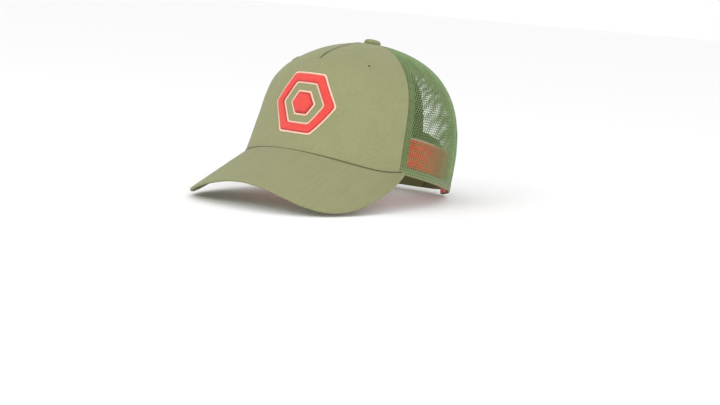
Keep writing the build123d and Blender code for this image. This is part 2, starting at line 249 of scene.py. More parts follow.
# ---- Meshes ----
def make_piece(name, points, faces, material, slot, stands_for=(), body=CAP, flat=None):
    """A smooth-shaded piece from points in the rim frame, riding on a CAD body."""
    mesh = bpy.data.meshes.new(name)
    mesh.from_pydata([tuple(p) for p in to_world(points)], [], [tuple(f) for f in faces])
    mesh.update()
    mesh.polygons.foreach_set("use_smooth", np.ones(len(mesh.polygons), bool))
    if flat is not None:
        cut = mesh.attributes.new("flat", "FLOAT_VECTOR", "POINT")
        cut.data.foreach_set("vector", np.asarray(flat, np.float32).ravel())
    piece = bpy.data.objects.new(name, mesh)
    bpy.context.scene.collection.objects.link(piece)
    mesh.materials.append(material)
    if body:
        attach(piece, body)
    if stands_for:
        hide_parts(*stands_for)
    return piece


def grid_normals(base):
    return unit(np.cross(np.gradient(base, axis=0), np.gradient(base, axis=1)))


def edge_distance(base):
    """Distance of each grid point from the nearest edge of its sheet, in millimetres."""
    nearest = np.full(base.shape[:2], 1e9)
    for axis in (0, 1):
        step = np.linalg.norm(np.diff(base, axis=axis), axis=-1)
        pad = np.zeros_like(np.take(step, [0], axis=axis))
        run = np.concatenate([pad, np.cumsum(step, axis=axis)], axis=axis)
        total = np.take(run, [-1], axis=axis)
        nearest = np.minimum(nearest, np.minimum(run, total - run))
    return nearest


def spaced(first, last, step, edge=0.0):
    """Even places from first to last, with closer ones near both ends."""
    count = max(2, int(round(abs(last - first) / step)))
    places = np.linspace(first, last, count + 1)
    if edge:
        direction = math.copysign(edge, last - first)
        near = [first, first + 0.12 * direction, first + 0.45 * direction, first + direction]
        far = [last - direction, last - 0.45 * direction, last - 0.12 * direction, last]
        low, high = min(near[-1], far[0]), max(near[-1], far[0])
        middle = places[(places > low + 0.3 * edge) & (places < high - 0.3 * edge)]
        places = np.concatenate([near, middle, far])
    return places


def sheet_mesh(base, outer, inner, normals=None, edge=None):
    """A closed sheet with rounded edges over a grid of points: points, faces, flat places."""
    rows, columns = base.shape[:2]
    normals = grid_normals(base) if normals is None else normals
    outer = np.broadcast_to(np.asarray(outer, float), (rows, columns))
    inner = np.broadcast_to(np.asarray(inner, float), (rows, columns))
    middle = (outer + inner) / 2
    edge = float(np.mean(outer - inner)) / 2 if edge is None else edge
    near = np.clip(edge_distance(base) / edge, 0, 1)
    swell = np.sqrt(np.clip(1 - (1 - near) ** 2, 0, 1))
    top = base + normals * (middle + (outer - middle) * swell)[..., None]
    bottom = base + normals * (middle + (inner - middle) * swell)[..., None]
    across = np.linalg.norm(np.diff(base, axis=0), axis=-1)
    along = np.linalg.norm(np.diff(base, axis=1), axis=-1)
    u = np.concatenate([np.zeros((1, columns)), np.cumsum(across, axis=0)])
    v = np.concatenate([np.zeros((rows, 1)), np.cumsum(along, axis=1)], axis=1)
    flat = np.stack([u - u.mean(axis=0, keepdims=True), v, np.zeros_like(u)], -1)
    index = np.arange(rows * columns).reshape(rows, columns)
    under = index.copy()
    under[1:-1, 1:-1] = rows * columns + np.arange((rows - 2) * (columns - 2)).reshape(
        rows - 2, columns - 2
    )
    points = np.concatenate([top.reshape(-1, 3), bottom[1:-1, 1:-1].reshape(-1, 3)])
    places = np.concatenate([flat.reshape(-1, 3), flat[1:-1, 1:-1].reshape(-1, 3)])
    upper = np.stack([index[:-1, :-1], index[1:, :-1], index[1:, 1:], index[:-1, 1:]], -1)
    lower = np.stack([under[:-1, :-1], under[:-1, 1:], under[1:, 1:], under[1:, :-1]], -1)
    return points, np.concatenate([upper.reshape(-1, 4), lower.reshape(-1, 4)]), places


def sheet_piece(
    name, base, outer, inner, material, slot, stands_for=(), body=CAP, held=None, rests_on=(), **extra
):
    """A sheet over a grid of points. The held argument is not used."""
    points, faces, places = sheet_mesh(base, outer, inner, **extra)
    piece = make_piece(name, points, faces, material, slot, stands_for, body, places)
    return piece


def band_faces(count, rings):
    """Faces of a closed band: rings of count points each, over an equal set of points below."""
    index = np.arange(count * rings).reshape(count, rings)
    ahead = np.roll(index, -1, axis=0)
    under, under_ahead = index + count * rings, ahead + count * rings
    upper = np.stack([index[:, :-1], index[:, 1:], ahead[:, 1:], ahead[:, :-1]], -1)
    lower = np.stack([under[:, :-1], under_ahead[:, :-1], under_ahead[:, 1:], under[:, 1:]], -1)
    return np.concatenate([
        upper.reshape(-1, 4), lower.reshape(-1, 4),
        np.stack([index[:, 0], ahead[:, 0], under_ahead[:, 0], under[:, 0]], -1),
        np.stack([index[:, -1], under[:, -1], under_ahead[:, -1], ahead[:, -1]], -1),
    ])


def lathe_faces(rings, sides, first):
    """Faces between rings of points from index first on, closed by a fan to the point after them."""
    faces = []
    for ring in range(rings - 1):
        for k in range(sides):
            a, b = first + ring * sides + k, first + ring * sides + (k + 1) % sides
            faces.append((a, a + sides, b + sides, b))
    last = first + (rings - 1) * sides
    return faces + [(last + k, last + sides, last + (k + 1) % sides) for k in range(sides)]


def joined(parts):
    """Several (points, faces) as one."""
    points, faces, start = [], [], 0
    for part_points, part_faces in parts:
        points.append(np.asarray(part_points))
        faces += [tuple(int(i) + start for i in face) for face in part_faces]
        start += len(part_points)
    return np.concatenate(points), faces


def path_frames(path, normals):
    """Unit tangents and sideways directions along a path on a surface."""
    tangent = unit(np.gradient(path, axis=0))
    side = unit(np.cross(normals, tangent))
    return tangent, side, unit(np.cross(tangent, side))


def tube_mesh(path, normals, width, height, sides):
    """A tube of oval section along a path on a surface, with flat ends."""
    tangent, side, up = path_frames(path, normals)
    turns = np.linspace(0, 2 * math.pi, sides, endpoint=False)
    count = len(path)
    width = np.broadcast_to(np.asarray(width, float), (count,))
    height = np.broadcast_to(np.asarray(height, float), (count,))
    ring = (
        side[:, None] * (np.cos(turns)[None] * width[:, None])[..., None]
        + up[:, None] * (np.sin(turns)[None] * height[:, None])[..., None]
    )
    points = (path[:, None] + ring).reshape(-1, 3)
    faces = []
    for i in range(0, (count - 1) * sides, sides):
        for k in range(sides):
            m = (k + 1) % sides
            faces.append((i + k, i + m, i + sides + m, i + sides + k))
    faces.append(tuple(range(sides - 1, -1, -1)))
    faces.append(tuple((count - 1) * sides + k for k in range(sides)))
    return points, faces


def resample(path, step):
    """The path again, with even steps. Returns places and their fractional indices."""
    run = np.concatenate([[0], np.cumsum(np.linalg.norm(np.diff(path, axis=0), axis=-1))])
    places = np.linspace(0, run[-1], max(3, int(round(run[-1] / step))) + 1)
    index = np.interp(places, run, np.arange(len(path)))
    return np.stack([np.interp(places, run, path[:, k]) for k in range(3)], -1), index


STITCH_LENGTH, STITCH_GAP, STITCH_STEP = 2.3, 0.9, 0.25
STITCH_LIFT, THREAD_RADIUS, THREAD_HEIGHT = 0.12, 0.24, 0.18


def stitch_mesh(path, normals):
    """A row of separate lock stitches along a path on a surface."""
    places, index = resample(path, STITCH_STEP)
    normals = np.stack([np.interp(index, np.arange(len(path)), normals[:, k]) for k in range(3)], -1)
    normals = unit(normals)
    per_stitch = int(round((STITCH_LENGTH + STITCH_GAP) / STITCH_STEP))
    used = int(round(STITCH_LENGTH / STITCH_STEP))
    parts = []
    for start in range(2, len(places) - used - 1, per_stitch):
        piece = slice(start, start + used + 1, 2)
        share = np.linspace(-1, 1, len(places[piece]))
        bulge = np.sqrt(np.clip(1.02 - share**2, 0.02, 1))
        centre = places[piece] + normals[piece] * (STITCH_LIFT * bulge)[:, None]
        width = THREAD_RADIUS * (0.35 + 0.65 * bulge)
        parts.append(tube_mesh(centre, normals[piece], width, THREAD_HEIGHT * bulge, 6))
    return joined(parts)


# ---- Materials ----
def srgb(red, green, blue):
    """A colour given in 0 to 255 screen values, as linear values."""
    values = np.array([red, green, blue]) / 255
    linear = np.where(values <= 0.04045, values / 12.92, ((values + 0.055) / 1.055) ** 2.4)
    return (*[float(v) for v in linear], 1.0)


class Shader:
    """A principled material and short calls that add nodes to it."""

    def __init__(self, name):
        self.material = bpy.data.materials.new(name)
        self.material.use_nodes = True
        self.nodes = self.material.node_tree.nodes
        self.links = self.material.node_tree.links
        self.surface = next(n for n in self.nodes if n.type == "BSDF_PRINCIPLED")

    def put(self, socket, value):
        if isinstance(value, bpy.types.NodeSocket):
            self.links.new(value, socket)
        else:
            socket.default_value = value

    def flat(self):
        """Places on the cut cloth, in millimetres: a vector."""
        node = self.nodes.new("ShaderNodeAttribute")
        node.attribute_name = "flat"
        return node.outputs["Vector"]

    def place(self):
        """Places on the object, in millimetres: a vector."""
        node = self.nodes.new("ShaderNodeTexCoord")
        return self.scale(node.outputs["Object"], 1000)

    def scale(self, vector, amount):
        node = self.nodes.new("ShaderNodeVectorMath")
        node.operation = "SCALE"
        self.links.new(vector, node.inputs[0])
        node.inputs["Scale"].default_value = amount
        return node.outputs[0]

    def stretch(self, vector, x, y, z):
        node = self.nodes.new("ShaderNodeVectorMath")
        node.operation = "MULTIPLY"
        self.links.new(vector, node.inputs[0])
        node.inputs[1].default_value = (x, y, z)
        return node.outputs[0]

    def split(self, vector):
        node = self.nodes.new("ShaderNodeSeparateXYZ")
        self.links.new(vector, node.inputs[0])
        return node.outputs[0], node.outputs[1], node.outputs[2]

    def math(self, operation, first, second=0.0, third=0.0):
        node = self.nodes.new("ShaderNodeMath")
        node.operation = operation
        for socket, value in zip(node.inputs, (first, second, third)):
            self.put(socket, value)
        return node.outputs[0]

    def blend(self, amount, first, second):
        node = self.nodes.new("ShaderNodeMix")
        node.data_type = "RGBA"
        self.put(node.inputs[0], amount)
        self.put(node.inputs[6], first)
        self.put(node.inputs[7], second)
        return node.outputs[2]

    def noise(self, vector, size, detail=2.0, roughness=0.5):
        """Noise of about 0 to 1 with features of a size in millimetres."""
        node = self.nodes.new("ShaderNodeTexNoise")
        self.links.new(vector, node.inputs["Vector"])
        node.inputs["Scale"].default_value = 1 / size
        node.inputs["Detail"].default_value = detail
        node.inputs["Roughness"].default_value = roughness
        return node.outputs[0]

    def span(self, value, low, high, first=0.0, last=1.0):
        """The value again, with low to high stretched over first to last and held there."""
        node = self.nodes.new("ShaderNodeMapRange")
        node.clamp = True
        self.put(node.inputs[0], value)
        for socket, amount in zip(list(node.inputs)[1:5], (low, high, first, last)):
            socket.default_value = amount
        return node.outputs[0]

    def shade(self, tone, low, high, dark, light):
        """A colour that goes from dark to light as a tone goes from low to high."""
        return self.blend(self.span(tone, low, high), dark, light)

    def wave(self, value, period):
        """A wave of 0 to 1 along a value."""
        turn = self.math("MULTIPLY", value, 2 * math.pi / period)
        return self.math("MULTIPLY_ADD", self.math("SINE", turn), 0.5, 0.5)

    def bump(self, height, millimetres):
        node = self.nodes.new("ShaderNodeBump")
        node.inputs["Strength"].default_value = 1.0
        node.inputs["Distance"].default_value = millimetres * 0.001
        self.links.new(height, node.inputs["Height"])
        self.links.new(node.outputs[0], self.surface.inputs["Normal"])

    def finish(self, colour, roughness, sheen=0.0, specular=0.3, metallic=0.0):
        self.put(self.surface.inputs["Base Color"], colour)
        self.put(self.surface.inputs["Roughness"], roughness)
        self.surface.inputs["Sheen Weight"].default_value = sheen
        self.surface.inputs["Sheen Roughness"].default_value = 0.5
        self.surface.inputs["Specular IOR Level"].default_value = specular
        self.surface.inputs["Metallic"].default_value = metallic
        return self.material


def twill(name, light, dark, period=0.85, depth=0.07):
    """Cotton twill: slanting ribs with yarns across them, a little worn and uneven."""
    s = Shader(name)
    flat, place = s.flat(), s.place()
    u, v, _ = s.split(flat)
    wander = s.math("MULTIPLY_ADD", s.noise(place, 2.2, 3), 0.5, -0.25)
    slant = s.math("ADD", s.math("MULTIPLY_ADD", v, 1.15, u), wander)
    rib = s.wave(slant, period)
    yarn = s.wave(s.math("SUBTRACT", s.math("MULTIPLY", u, 1.1), v), period * 0.62)
    weave = s.math("MULTIPLY_ADD", yarn, 0.35, s.math("MULTIPLY", rib, 0.65))
    fibre = s.noise(place, 0.22, 3, 0.6)
    patches = s.noise(place, 14, 4, 0.55)
    streaks = s.noise(s.stretch(flat, 1.0, 0.03, 1.0), 1.7, 2, 0.6)
    tone = s.math("MULTIPLY_ADD", fibre, 0.45, s.math("MULTIPLY", weave, 0.45))
    tone = s.math("ADD", tone, s.math("MULTIPLY_ADD", patches, 0.3, -0.15))
    tone = s.math("ADD", tone, s.math("MULTIPLY_ADD", streaks, 0.6, -0.25))
    colour = s.shade(tone, 0.15, 0.85, dark, light)
    height = s.math("MULTIPLY_ADD", fibre, 0.35, weave)
    s.bump(height, depth)
    return s.finish(colour, s.span(fibre, 0.2, 0.8, 0.82, 0.95), sheen=0.1, specular=0.12)


def knit(name, light, dark, roughness=0.55):
    """Knitted polyester: filaments running along each strand."""
    s = Shader(name)
    place = s.place()
    u, v, _ = s.split(s.flat())
    filament = s.wave(s.math("MULTIPLY_ADD", s.noise(place, 0.5, 2), 0.6, s.math("ADD", u, v)), 0.16)
    fibre = s.noise(place, 0.18, 2, 0.6)
    patches = s.noise(place, 18, 3)
    tone = s.math("MULTIPLY_ADD", filament, 0.35, s.math("MULTIPLY", fibre, 0.65))
    tone = s.math("ADD", tone, s.math("MULTIPLY_ADD", patches, 0.4, -0.2))
    s.bump(s.math("MULTIPLY_ADD", filament, 0.5, fibre), 0.03)
    colour = s.shade(tone, 0.2, 0.85, dark, light)
    return s.finish(colour, roughness, sheen=0.2, specular=0.4)


def folded_knit(name, light, dark):
    """Mesh folded on itself: the same six-sided holes, closed by the layer behind, each hole darkened
    as painted shade.
    """
    s = Shader(name)
    place = s.place()
    u, v, _ = s.split(s.flat())
    turn = 4 * math.pi / (math.sqrt(3) * CELL_PITCH)
    first = s.math("COSINE", s.math("MULTIPLY", v, turn))
    slope = math.sqrt(3) / 2
    rise = s.math("MULTIPLY", u, slope * turn)
    half = s.math("MULTIPLY", v, 0.5 * turn)
    second = s.math("COSINE", s.math("ADD", rise, half))
    third = s.math("COSINE", s.math("SUBTRACT", rise, half))
    cell = s.span(s.math("ADD", first, s.math("ADD", second, third)), -0.2, 2.2)
    fibre = s.noise(place, 0.2, 2, 0.6)
    # Painted shade: each hole is darkened where the layer behind lies in shade.
    tone = s.math("SUBTRACT", s.math("MULTIPLY_ADD", fibre, 0.6, 0.5), cell)
    s.bump(s.math("MULTIPLY_ADD", fibre, 0.15, s.math("SUBTRACT", 1.0, cell)), 0.25)
    return s.finish(s.shade(tone, -0.3, 1.0, dark, light), 0.65, sheen=0.2, specular=0.35)


def brushed(name, light, dark, sheen=0.5):
    """Brushed cotton: a short soft nap over a plain weave."""
    s = Shader(name)
    place = s.place()
    u, v, _ = s.split(s.flat())
    weave = s.math("MULTIPLY", s.wave(u, 0.7), s.wave(v, 0.7))
    nap = s.noise(place, 0.35, 4, 0.65)
    patches = s.noise(place, 9, 3)
    tone = s.math("MULTIPLY_ADD", weave, 0.3, s.math("MULTIPLY", nap, 0.8))
    tone = s.math("ADD", tone, s.math("MULTIPLY_ADD", patches, 0.5, -0.25))
    s.bump(s.math("MULTIPLY_ADD", weave, 0.5, nap), 0.08)
    return s.finish(s.shade(tone, 0.2, 0.9, dark, light), 0.9, sheen=sheen, specular=0.15)


def plain_weave(name, light, dark, period=0.6, depth=0.06):
    """A tape of plain weave."""
    s = Shader(name)
    place = s.place()
    u, v, _ = s.split(s.flat())
    over = s.wave(s.math("ADD", u, v), period)
    under = s.wave(s.math("SUBTRACT", u, v), period)
    weave = s.math("MULTIPLY", over, under)
    fibre = s.noise(place, 0.2, 3, 0.6)
    tone = s.math("MULTIPLY_ADD", weave, 0.6, s.math("MULTIPLY", fibre, 0.6))
    s.bump(s.math("MULTIPLY_ADD", fibre, 0.3, weave), depth)
    return s.finish(s.shade(tone, 0.1, 0.9, dark, light), 0.85, sheen=0.2, specular=0.2)


def buckram(name, light, dark):
    """Open stiff weave with a slightly glossy size on it."""
    s = Shader(name)
    place = s.place()
    u, v, _ = s.split(s.flat())
    across = s.span(s.wave(u, 1.1), 0.35, 0.75)
    along = s.span(s.wave(v, 1.1), 0.35, 0.75)
    threads = s.math("MAXIMUM", across, along)
    fibre = s.noise(place, 0.3, 3)
    tone = s.math("MULTIPLY", threads, s.math("MULTIPLY_ADD", fibre, 0.5, 0.7))
    s.bump(s.math("MULTIPLY_ADD", fibre, 0.2, threads), 0.12)
    return s.finish(s.shade(tone, 0.0, 1.0, dark, light), 0.7, sheen=0.1, specular=0.3)


def satin(name, light, dark, edge, thread=0.42):
    """Satin stitches: close threads along v, glossy, with shade between them and at their ends."""
    s = Shader(name)
    place = s.place()
    u, _, middle = s.split(s.flat())
    wander = s.math("MULTIPLY_ADD", s.noise(place, 1.4, 2), 0.3, -0.15)
    ridge = s.wave(s.math("ADD", u, wander), thread)
    fibre = s.noise(place, 0.15, 2, 0.6)
    patches = s.noise(place, 3.5, 3)
    tone = s.math("MULTIPLY_ADD", ridge, 0.55, s.math("MULTIPLY", fibre, 0.3))
    tone = s.math("ADD", tone, s.math("MULTIPLY_ADD", patches, 0.5, -0.2))
    s.bump(s.math("MULTIPLY_ADD", fibre, 0.2, ridge), 0.09)
    colour = s.shade(tone, 0.1, 0.75, dark, light)
    colour = s.blend(s.span(middle, 0.05, 0.5), edge, colour)
    return s.finish(colour, s.span(ridge, 0, 1, 0.5, 0.36), sheen=0.15, specular=0.45)


def thread(name, light, dark):
    """Spun sewing thread: a fine twist."""
    s = Shader(name)
    place = s.place()
    x, y, z = s.split(place)
    twist = s.wave(s.math("ADD", s.math("ADD", x, y), s.math("MULTIPLY", z, 0.7)), 0.45)
    fibre = s.noise(place, 0.12, 2)
    tone = s.math("MULTIPLY_ADD", twist, 0.6, s.math("MULTIPLY", fibre, 0.4))
    s.bump(tone, 0.04)
    return s.finish(s.shade(tone, 0.15, 0.85, dark, light), 0.6, sheen=0.15, specular=0.35)


def plastic(name, light, dark, roughness=0.42, grain=0.02):
    """Moulded plastic: a faint grain, slight flow marks and rubbed places."""
    s = Shader(name)
    place = s.place()
    grains = s.noise(place, 0.35, 3)
    flow = s.noise(place, 7, 3)
    rubs = s.noise(place, 2.2, 5, 0.7)
    s.bump(grains, grain)
    colour = s.blend(s.math("MULTIPLY_ADD", grains, 0.3, s.math("MULTIPLY", flow, 0.7)), dark, light)
    rough = s.span(rubs, 0.35, 0.7, roughness - 0.08, roughness + 0.12)
    return s.finish(colour, rough, specular=0.45)


def metal(name, light, dark, roughness=0.3):
    """Pressed metal: fine scratches over uneven plating."""
    s = Shader(name)
    place = s.place()
    scratches = s.noise(place, 0.12, 2, 0.7)
    stains = s.noise(place, 2.5, 4)
    s.bump(scratches, 0.01)
    colour = s.shade(stains, 0.3, 0.7, dark, light)
    wear = s.math("MULTIPLY_ADD", scratches, 0.3, stains)
    rough = s.span(wear, 0.3, 0.9, roughness, roughness + 0.25)
    return s.finish(colour, rough, specular=0.5, metallic=1.0)


KHAKI = twill("khaki_twill", srgb(151, 152, 114), srgb(129, 131, 94))
# The visor's underside: a darker copy of the khaki twill, as painted shade.
KHAKI_UNDER_SHADED = twill("khaki_twill_under_painted_shade", srgb(142, 145, 102), srgb(116, 119, 77))
OLIVE_SEAM = thread("olive_seam_thread", srgb(112, 112, 66), srgb(58, 58, 30))
# Dart thread: darker than OLIVE_SEAM, with painted shade of the dart's groove in its colour.
DART_THREAD_SHADED = thread("dart_thread_painted_shade", srgb(84, 86, 52), srgb(44, 46, 24))
KHAKI_THREAD = thread("khaki_thread", srgb(170, 172, 130), srgb(104, 106, 68))
GREEN = knit("green_mesh", srgb(152, 178, 120), srgb(98, 124, 74))
# Painted shade: a darker copy of the mesh's green, for mesh folded double or lying behind other mesh.
GREEN_FOLD_SHADED = folded_knit("green_mesh_folded_painted_shade", srgb(130, 144, 92), srgb(52, 66, 36))
GREEN_BINDING = twill("green_binding", srgb(104, 126, 80), srgb(70, 90, 52), 0.7, 0.05)
GREEN_THREAD = thread("green_thread", srgb(124, 148, 98), srgb(72, 94, 54))
TAPE = plain_weave("olive_tape", srgb(124, 130, 86), srgb(74, 78, 46))
BACKING = buckram("buckram", srgb(226, 224, 206), srgb(150, 146, 122))
RED = brushed("red_brushed_cotton", srgb(255, 46, 28), srgb(228, 28, 18))
PALE = brushed("pale_piping", srgb(250, 226, 204), srgb(214, 178, 150), 0.3)
CORAL = satin("coral_satin", srgb(240, 74, 62), srgb(204, 42, 38), srgb(172, 30, 30))
CORAL_BORDER = satin(
    "pale_border_satin", srgb(250, 214, 192), srgb(226, 160, 134), srgb(244, 204, 180), 0.36
)
BOARD = plastic("visor_board_plastic", srgb(62, 62, 60), srgb(34, 34, 33), 0.55)
STRAP = plastic("olive_strap_plastic", srgb(122, 128, 82), srgb(98, 104, 62))
STEEL = metal("rivet_steel", srgb(208, 208, 204), srgb(160, 158, 150))
SHELL = metal("button_shell_metal", srgb(150, 150, 148), srgb(104, 104, 102), 0.4)


# ---- Crown with its sway ----
def cloth_point(station, run, out=0.0):
    """A point of the sewn crown: the smooth crown, its slight sway, and a height off its outer face."""
    base = crown_base(station, run)
    station, run = np.broadcast_arrays(station, run)
    lift = sway(base, station, run) + out
    return base + crown_normal(station, run) * np.asarray(lift, float)[..., None]


def at_seam(seam, offset, run):
    """Girth angle of a point at a sideways offset from a seam's meridian, in millimetres."""
    spacing = np.linalg.norm(crown_base(seam + 0.5, run) - crown_base(seam - 0.5, run), axis=-1)
    return seam + offset / np.maximum(spacing, 1e-6)


def run_at_height(station, height):
    """Run up a meridian to a height above the rim."""
    runs = np.linspace(0, float(meridian_length(station)), 800)
    heights = crown_base(np.full_like(runs, station), runs)[:, 2]
    return float(np.interp(height, heights, runs))


def run_at_radius(station, radius):
    """Run up a meridian to a distance from the crown's axis, near its top."""
    runs = np.linspace(0.4 * float(meridian_length(station)), float(meridian_length(station)), 800)
    points = crown_base(np.full_like(runs, station), runs)
    radii = np.hypot(points[:, 0], points[:, 1])
    return float(np.interp(-radius, -radii, runs))


def visor_top(x, y):
    """Height of the visor's top over the rim. Its cloth is drawn down a little at the two ends."""
    curl = x**2 / (2 * VISOR_CURL_RADIUS) + VISOR_EDGE_CURL * x**4
    drawn = VISOR_DROOP * smooth((np.abs(x) - 30) / 42) * smooth((y + 92) / 44)
    return VISOR_LIFT + VISOR_SLOPE * (y + FRONT_LENGTH) - curl - drawn


def foot_run(station):
    """Run where the crown's cloth meets the visor, or the rim where there is no visor."""
    base = crown_base(station, np.zeros(np.shape(station)))
    meets = visor_top(base[..., 0], base[..., 1])
    front = smooth((np.abs(base[..., 0]) - 76.5) / 1.5)
    return np.where(base[..., 1] < 0, meets * (1 - front), 0.0)


def panel_grid(stations, low, high, step=1.6, edge=0.6):
    """Crown points for every station, from the low run to the high run of that station."""
    longest = float(np.max(high - low))
    share = (spaced(0, longest, step, edge)) / longest
    runs = low[:, None] + (high - low)[:, None] * share[None]
    return stations[:, None] + 0 * runs, runs


# ---- Front panel ----
front_stations = np.concatenate([
    spaced(-180 - FRONT_SEAM, -96.5, 1.1, 0.4),
    -90 + np.array([-5.2, -4.2, -3.3, -2.5, -1.8, -1.2, -0.7, -0.3]),
    [-90.0],
    -90 + np.array([0.3, 0.7, 1.2, 1.8, 2.5, 3.3, 4.2, 5.2]),
    spaced(-83.5, FRONT_SEAM, 1.1, 0.4),
])
front_low = foot_run(front_stations) - 0.9
front_low[np.abs(front_stations + 90) > 66] = 0.5
front_high = meridian_length(front_stations) - POLE_GAP
turns, runs = panel_grid(front_stations, front_low, front_high, 1.3)
front_points = cloth_point(turns, runs)
DART_RUN = run_at_height(-90, DART_HEIGHT)
dart = smooth((runs - DART_RUN + 4) / 10) * np.exp(-((front_points[..., 0] / 1.2) ** 2))
dart_swell = smooth((runs - DART_RUN) / 12) * np.exp(-((np.abs(front_points[..., 0]) - 2.6) ** 2) / 2.5)
front_out = 0.25 * dart_swell - 0.95 * dart
front_panel = sheet_piece(
    "front_panel_cloth", front_points, front_out, front_out - 0.8, KHAKI, "twill",
    ["front_panel"], edge=0.4, held="stretched", rests_on=["front_lining"],
)
lining_stations = spaced(-180 - FRONT_SEAM, FRONT_SEAM, 2.2, 0.4)
turns, runs = panel_grid(
    lining_stations,
    np.where(np.abs(lining_stations + 90) > 66, 1.0, foot_run(lining_stations) - 0.6),
    meridian_length(lining_stations) - POLE_GAP, 2.5,
)
lining = sheet_piece(
    "front_lining", cloth_point(turns, runs), -1.0, -1.5, BACKING, "backing",
    ["front_backing"], edge=0.25, held="stretched", rests_on=["sweatband_cloth"],
)


def punch_holes(piece, places, radius):
    """Cuts round holes, given as (centre, direction), through a closed sheet."""
    for centre, direction in places:
        side_a = unit(np.cross(direction, [0.0, 0.0, 1.0]))
        side_b = np.cross(direction, side_a)
        turns = np.linspace(0, 2 * math.pi, 20, endpoint=False)[:, None]
        ring = (np.cos(turns) * side_a + np.sin(turns) * side_b) * radius
        points = np.concatenate([centre - direction * 4 + ring, centre + direction * 4 + ring])
        faces = [tuple(range(19, -1, -1)), tuple(range(20, 40))]
        faces += [(k, (k + 1) % 20, 20 + (k + 1) % 20, 20 + k) for k in range(20)]
        mesh = bpy.data.meshes.new("punch")
        mesh.from_pydata([tuple(p) for p in to_world(points)], [], faces)
        punch = bpy.data.objects.new("punch", mesh)
        bpy.context.scene.collection.objects.link(punch)
        cut = piece.modifiers.new("hole", "BOOLEAN")
        cut.operation = "DIFFERENCE"
        cut.solver = "EXACT"
        cut.object = punch
        view = bpy.context.evaluated_depsgraph_get()
        view.update()
        result = bpy.data.meshes.new_from_object(piece.evaluated_get(view), depsgraph=view)
        piece.modifiers.clear()
        piece.data = result
        bpy.data.objects.remove(punch)


eyelets = {}
for side, station in (("left", -EYELET_STATION), ("right", EYELET_STATION - 180)):
    run = run_at_height(station, EYELET_HEIGHT)
    centre = cloth_point(np.array([station]), np.array([run]))[0]
    normal = crown_normal(np.array([station]), np.array([run]))[0]
    eyelets[side] = (centre, normal)
    # Buttonhole stitches: a low ring whose threads run outward from the hole
    count, rings = 144, 13
    turn = np.linspace(0, 2 * math.pi, count, endpoint=False)[:, None]
    share = np.linspace(0, 1, rings)[None]
    side_a = unit(np.cross(normal, [0.0, 0.0, 1.0]))
    side_b = np.cross(normal, side_a)
    rng = np.random.default_rng(11)
    reach = EYELET_REACH + 0.16 * rng.normal(size=count // 4).repeat(4)[:, None]
    inner = EYELET_HOLE - 0.05
    across = inner + (reach - inner) * share
    ridge = np.abs(np.sin(turn * 18)) * np.sin(np.pi * share) ** 0.5
    rise = 0.1 + 0.5 * np.sin(np.pi * np.clip(share * 0.9 + 0.1, 0, 1)) ** 0.7 + 0.13 * ridge
    top = centre + (np.cos(turn) * across)[..., None] * side_a
    top = top + (np.sin(turn) * across)[..., None] * side_b + rise[..., None] * normal
    sink = np.where(share < 0.02, 1.0, 0.25)
    bottom = top - ((rise + sink) * np.ones_like(across))[..., None] * normal
    points = np.concatenate([top.reshape(-1, 3), bottom.reshape(-1, 3)])
    make_piece(
        "eyelet_thread_" + side, points, band_faces(count, rings), KHAKI_THREAD, "eyelet_thread",
        ["eyelet_" + side],
    )
punch_holes(front_panel, eyelets.values(), EYELET_HOLE)
punch_holes(lining, eyelets.values(), EYELET_HOLE + 0.2)

# A sunken thread along the dart, where the front panel's cloth is drawn together. Its thread is darker
# than the other seams' thread, with painted shade of the dart's groove in its colour.
dart_runs = np.arange(DART_RUN - 3, float(meridian_length(-90)) - 4.6, 0.8)
dart_line = cloth_point(np.full_like(dart_runs, -90), dart_runs, -0.5)
dart_normals = crown_normal(np.full_like(dart_runs, -90), dart_runs)
make_piece("dart_seam", *tube_mesh(dart_line, dart_normals, 0.95, 0.35, 8), DART_THREAD_SHADED, "twill")


# ---- Mesh panels: knitted six-sided holes, laid out on the flat cut ----
CELL_RADIUS = CELL_PITCH / math.sqrt(3)
MESH_BOTTOM, FIRST_ROW = 5.0, 5.6
STRAND_OUTER, STRAND_EDGE, STRAND_INNER = 0.06, -0.35, -0.76


class Gore:
    """A panel of the crown laid flat: rows at even heights, each spread out to its own width."""

    ROWS, COLUMNS = 161, 81

    def __init__(self, first, last):
        self.length = float(meridian_length((first + last) / 2))
        stations = np.linspace(first, last, self.COLUMNS)
        self.share = np.linspace(0, 1, self.ROWS)
        runs = self.share[:, None] * meridian_length(stations)[None]
        points = crown_base(stations[None] + 0 * runs, runs)
        step = np.linalg.norm(np.diff(points, axis=1), axis=-1)
        across = np.concatenate([np.zeros((self.ROWS, 1)), np.cumsum(step, axis=1)], axis=1)
        across -= across[:, [self.COLUMNS // 2]]
        self.left, self.right = across[:, 0], across[:, -1]
        self.station = np.zeros((self.ROWS, self.COLUMNS))
        for k in range(self.ROWS):
            even = np.linspace(self.left[k], self.right[k], self.COLUMNS)
            self.station[k] = np.interp(even, across[k], stations)

    def edges(self, v):
        share = v / self.length
        return np.interp(share, self.share, self.left), np.interp(share, self.share, self.right)

    def place(self, u, v):
        """Girth angles and runs of flat places, held at the panel's edges."""
        left, right = self.edges(v)
        part = np.clip((u - left) / np.maximum(right - left, 1e-6), 0, 1) * (self.COLUMNS - 1)
        row = np.clip(v / self.length, 0, 1) * (self.ROWS - 1)
        i = np.minimum(row.astype(int), self.ROWS - 2)
        j = np.minimum(part.astype(int), self.COLUMNS - 2)
        a, b = row - i, part - j
        table = self.station
        station = (table[i, j] * (1 - b) + table[i, j + 1] * b) * (1 - a)
        station = station + (table[i + 1, j] * (1 - b) + table[i + 1, j + 1] * b) * a
        return station, v / self.length * meridian_length(station)


def in_arch(points, grow=0.0):
    """Which points lie inside the rear arch, grown by a width in millimetres."""
    x, z = points[..., 0] / (ARCH_HALF_WIDTH + grow), points[..., 2] / (ARCH_HEIGHT + grow)
    return (x**2 + z**2 < 1) & (points[..., 1] > 0)


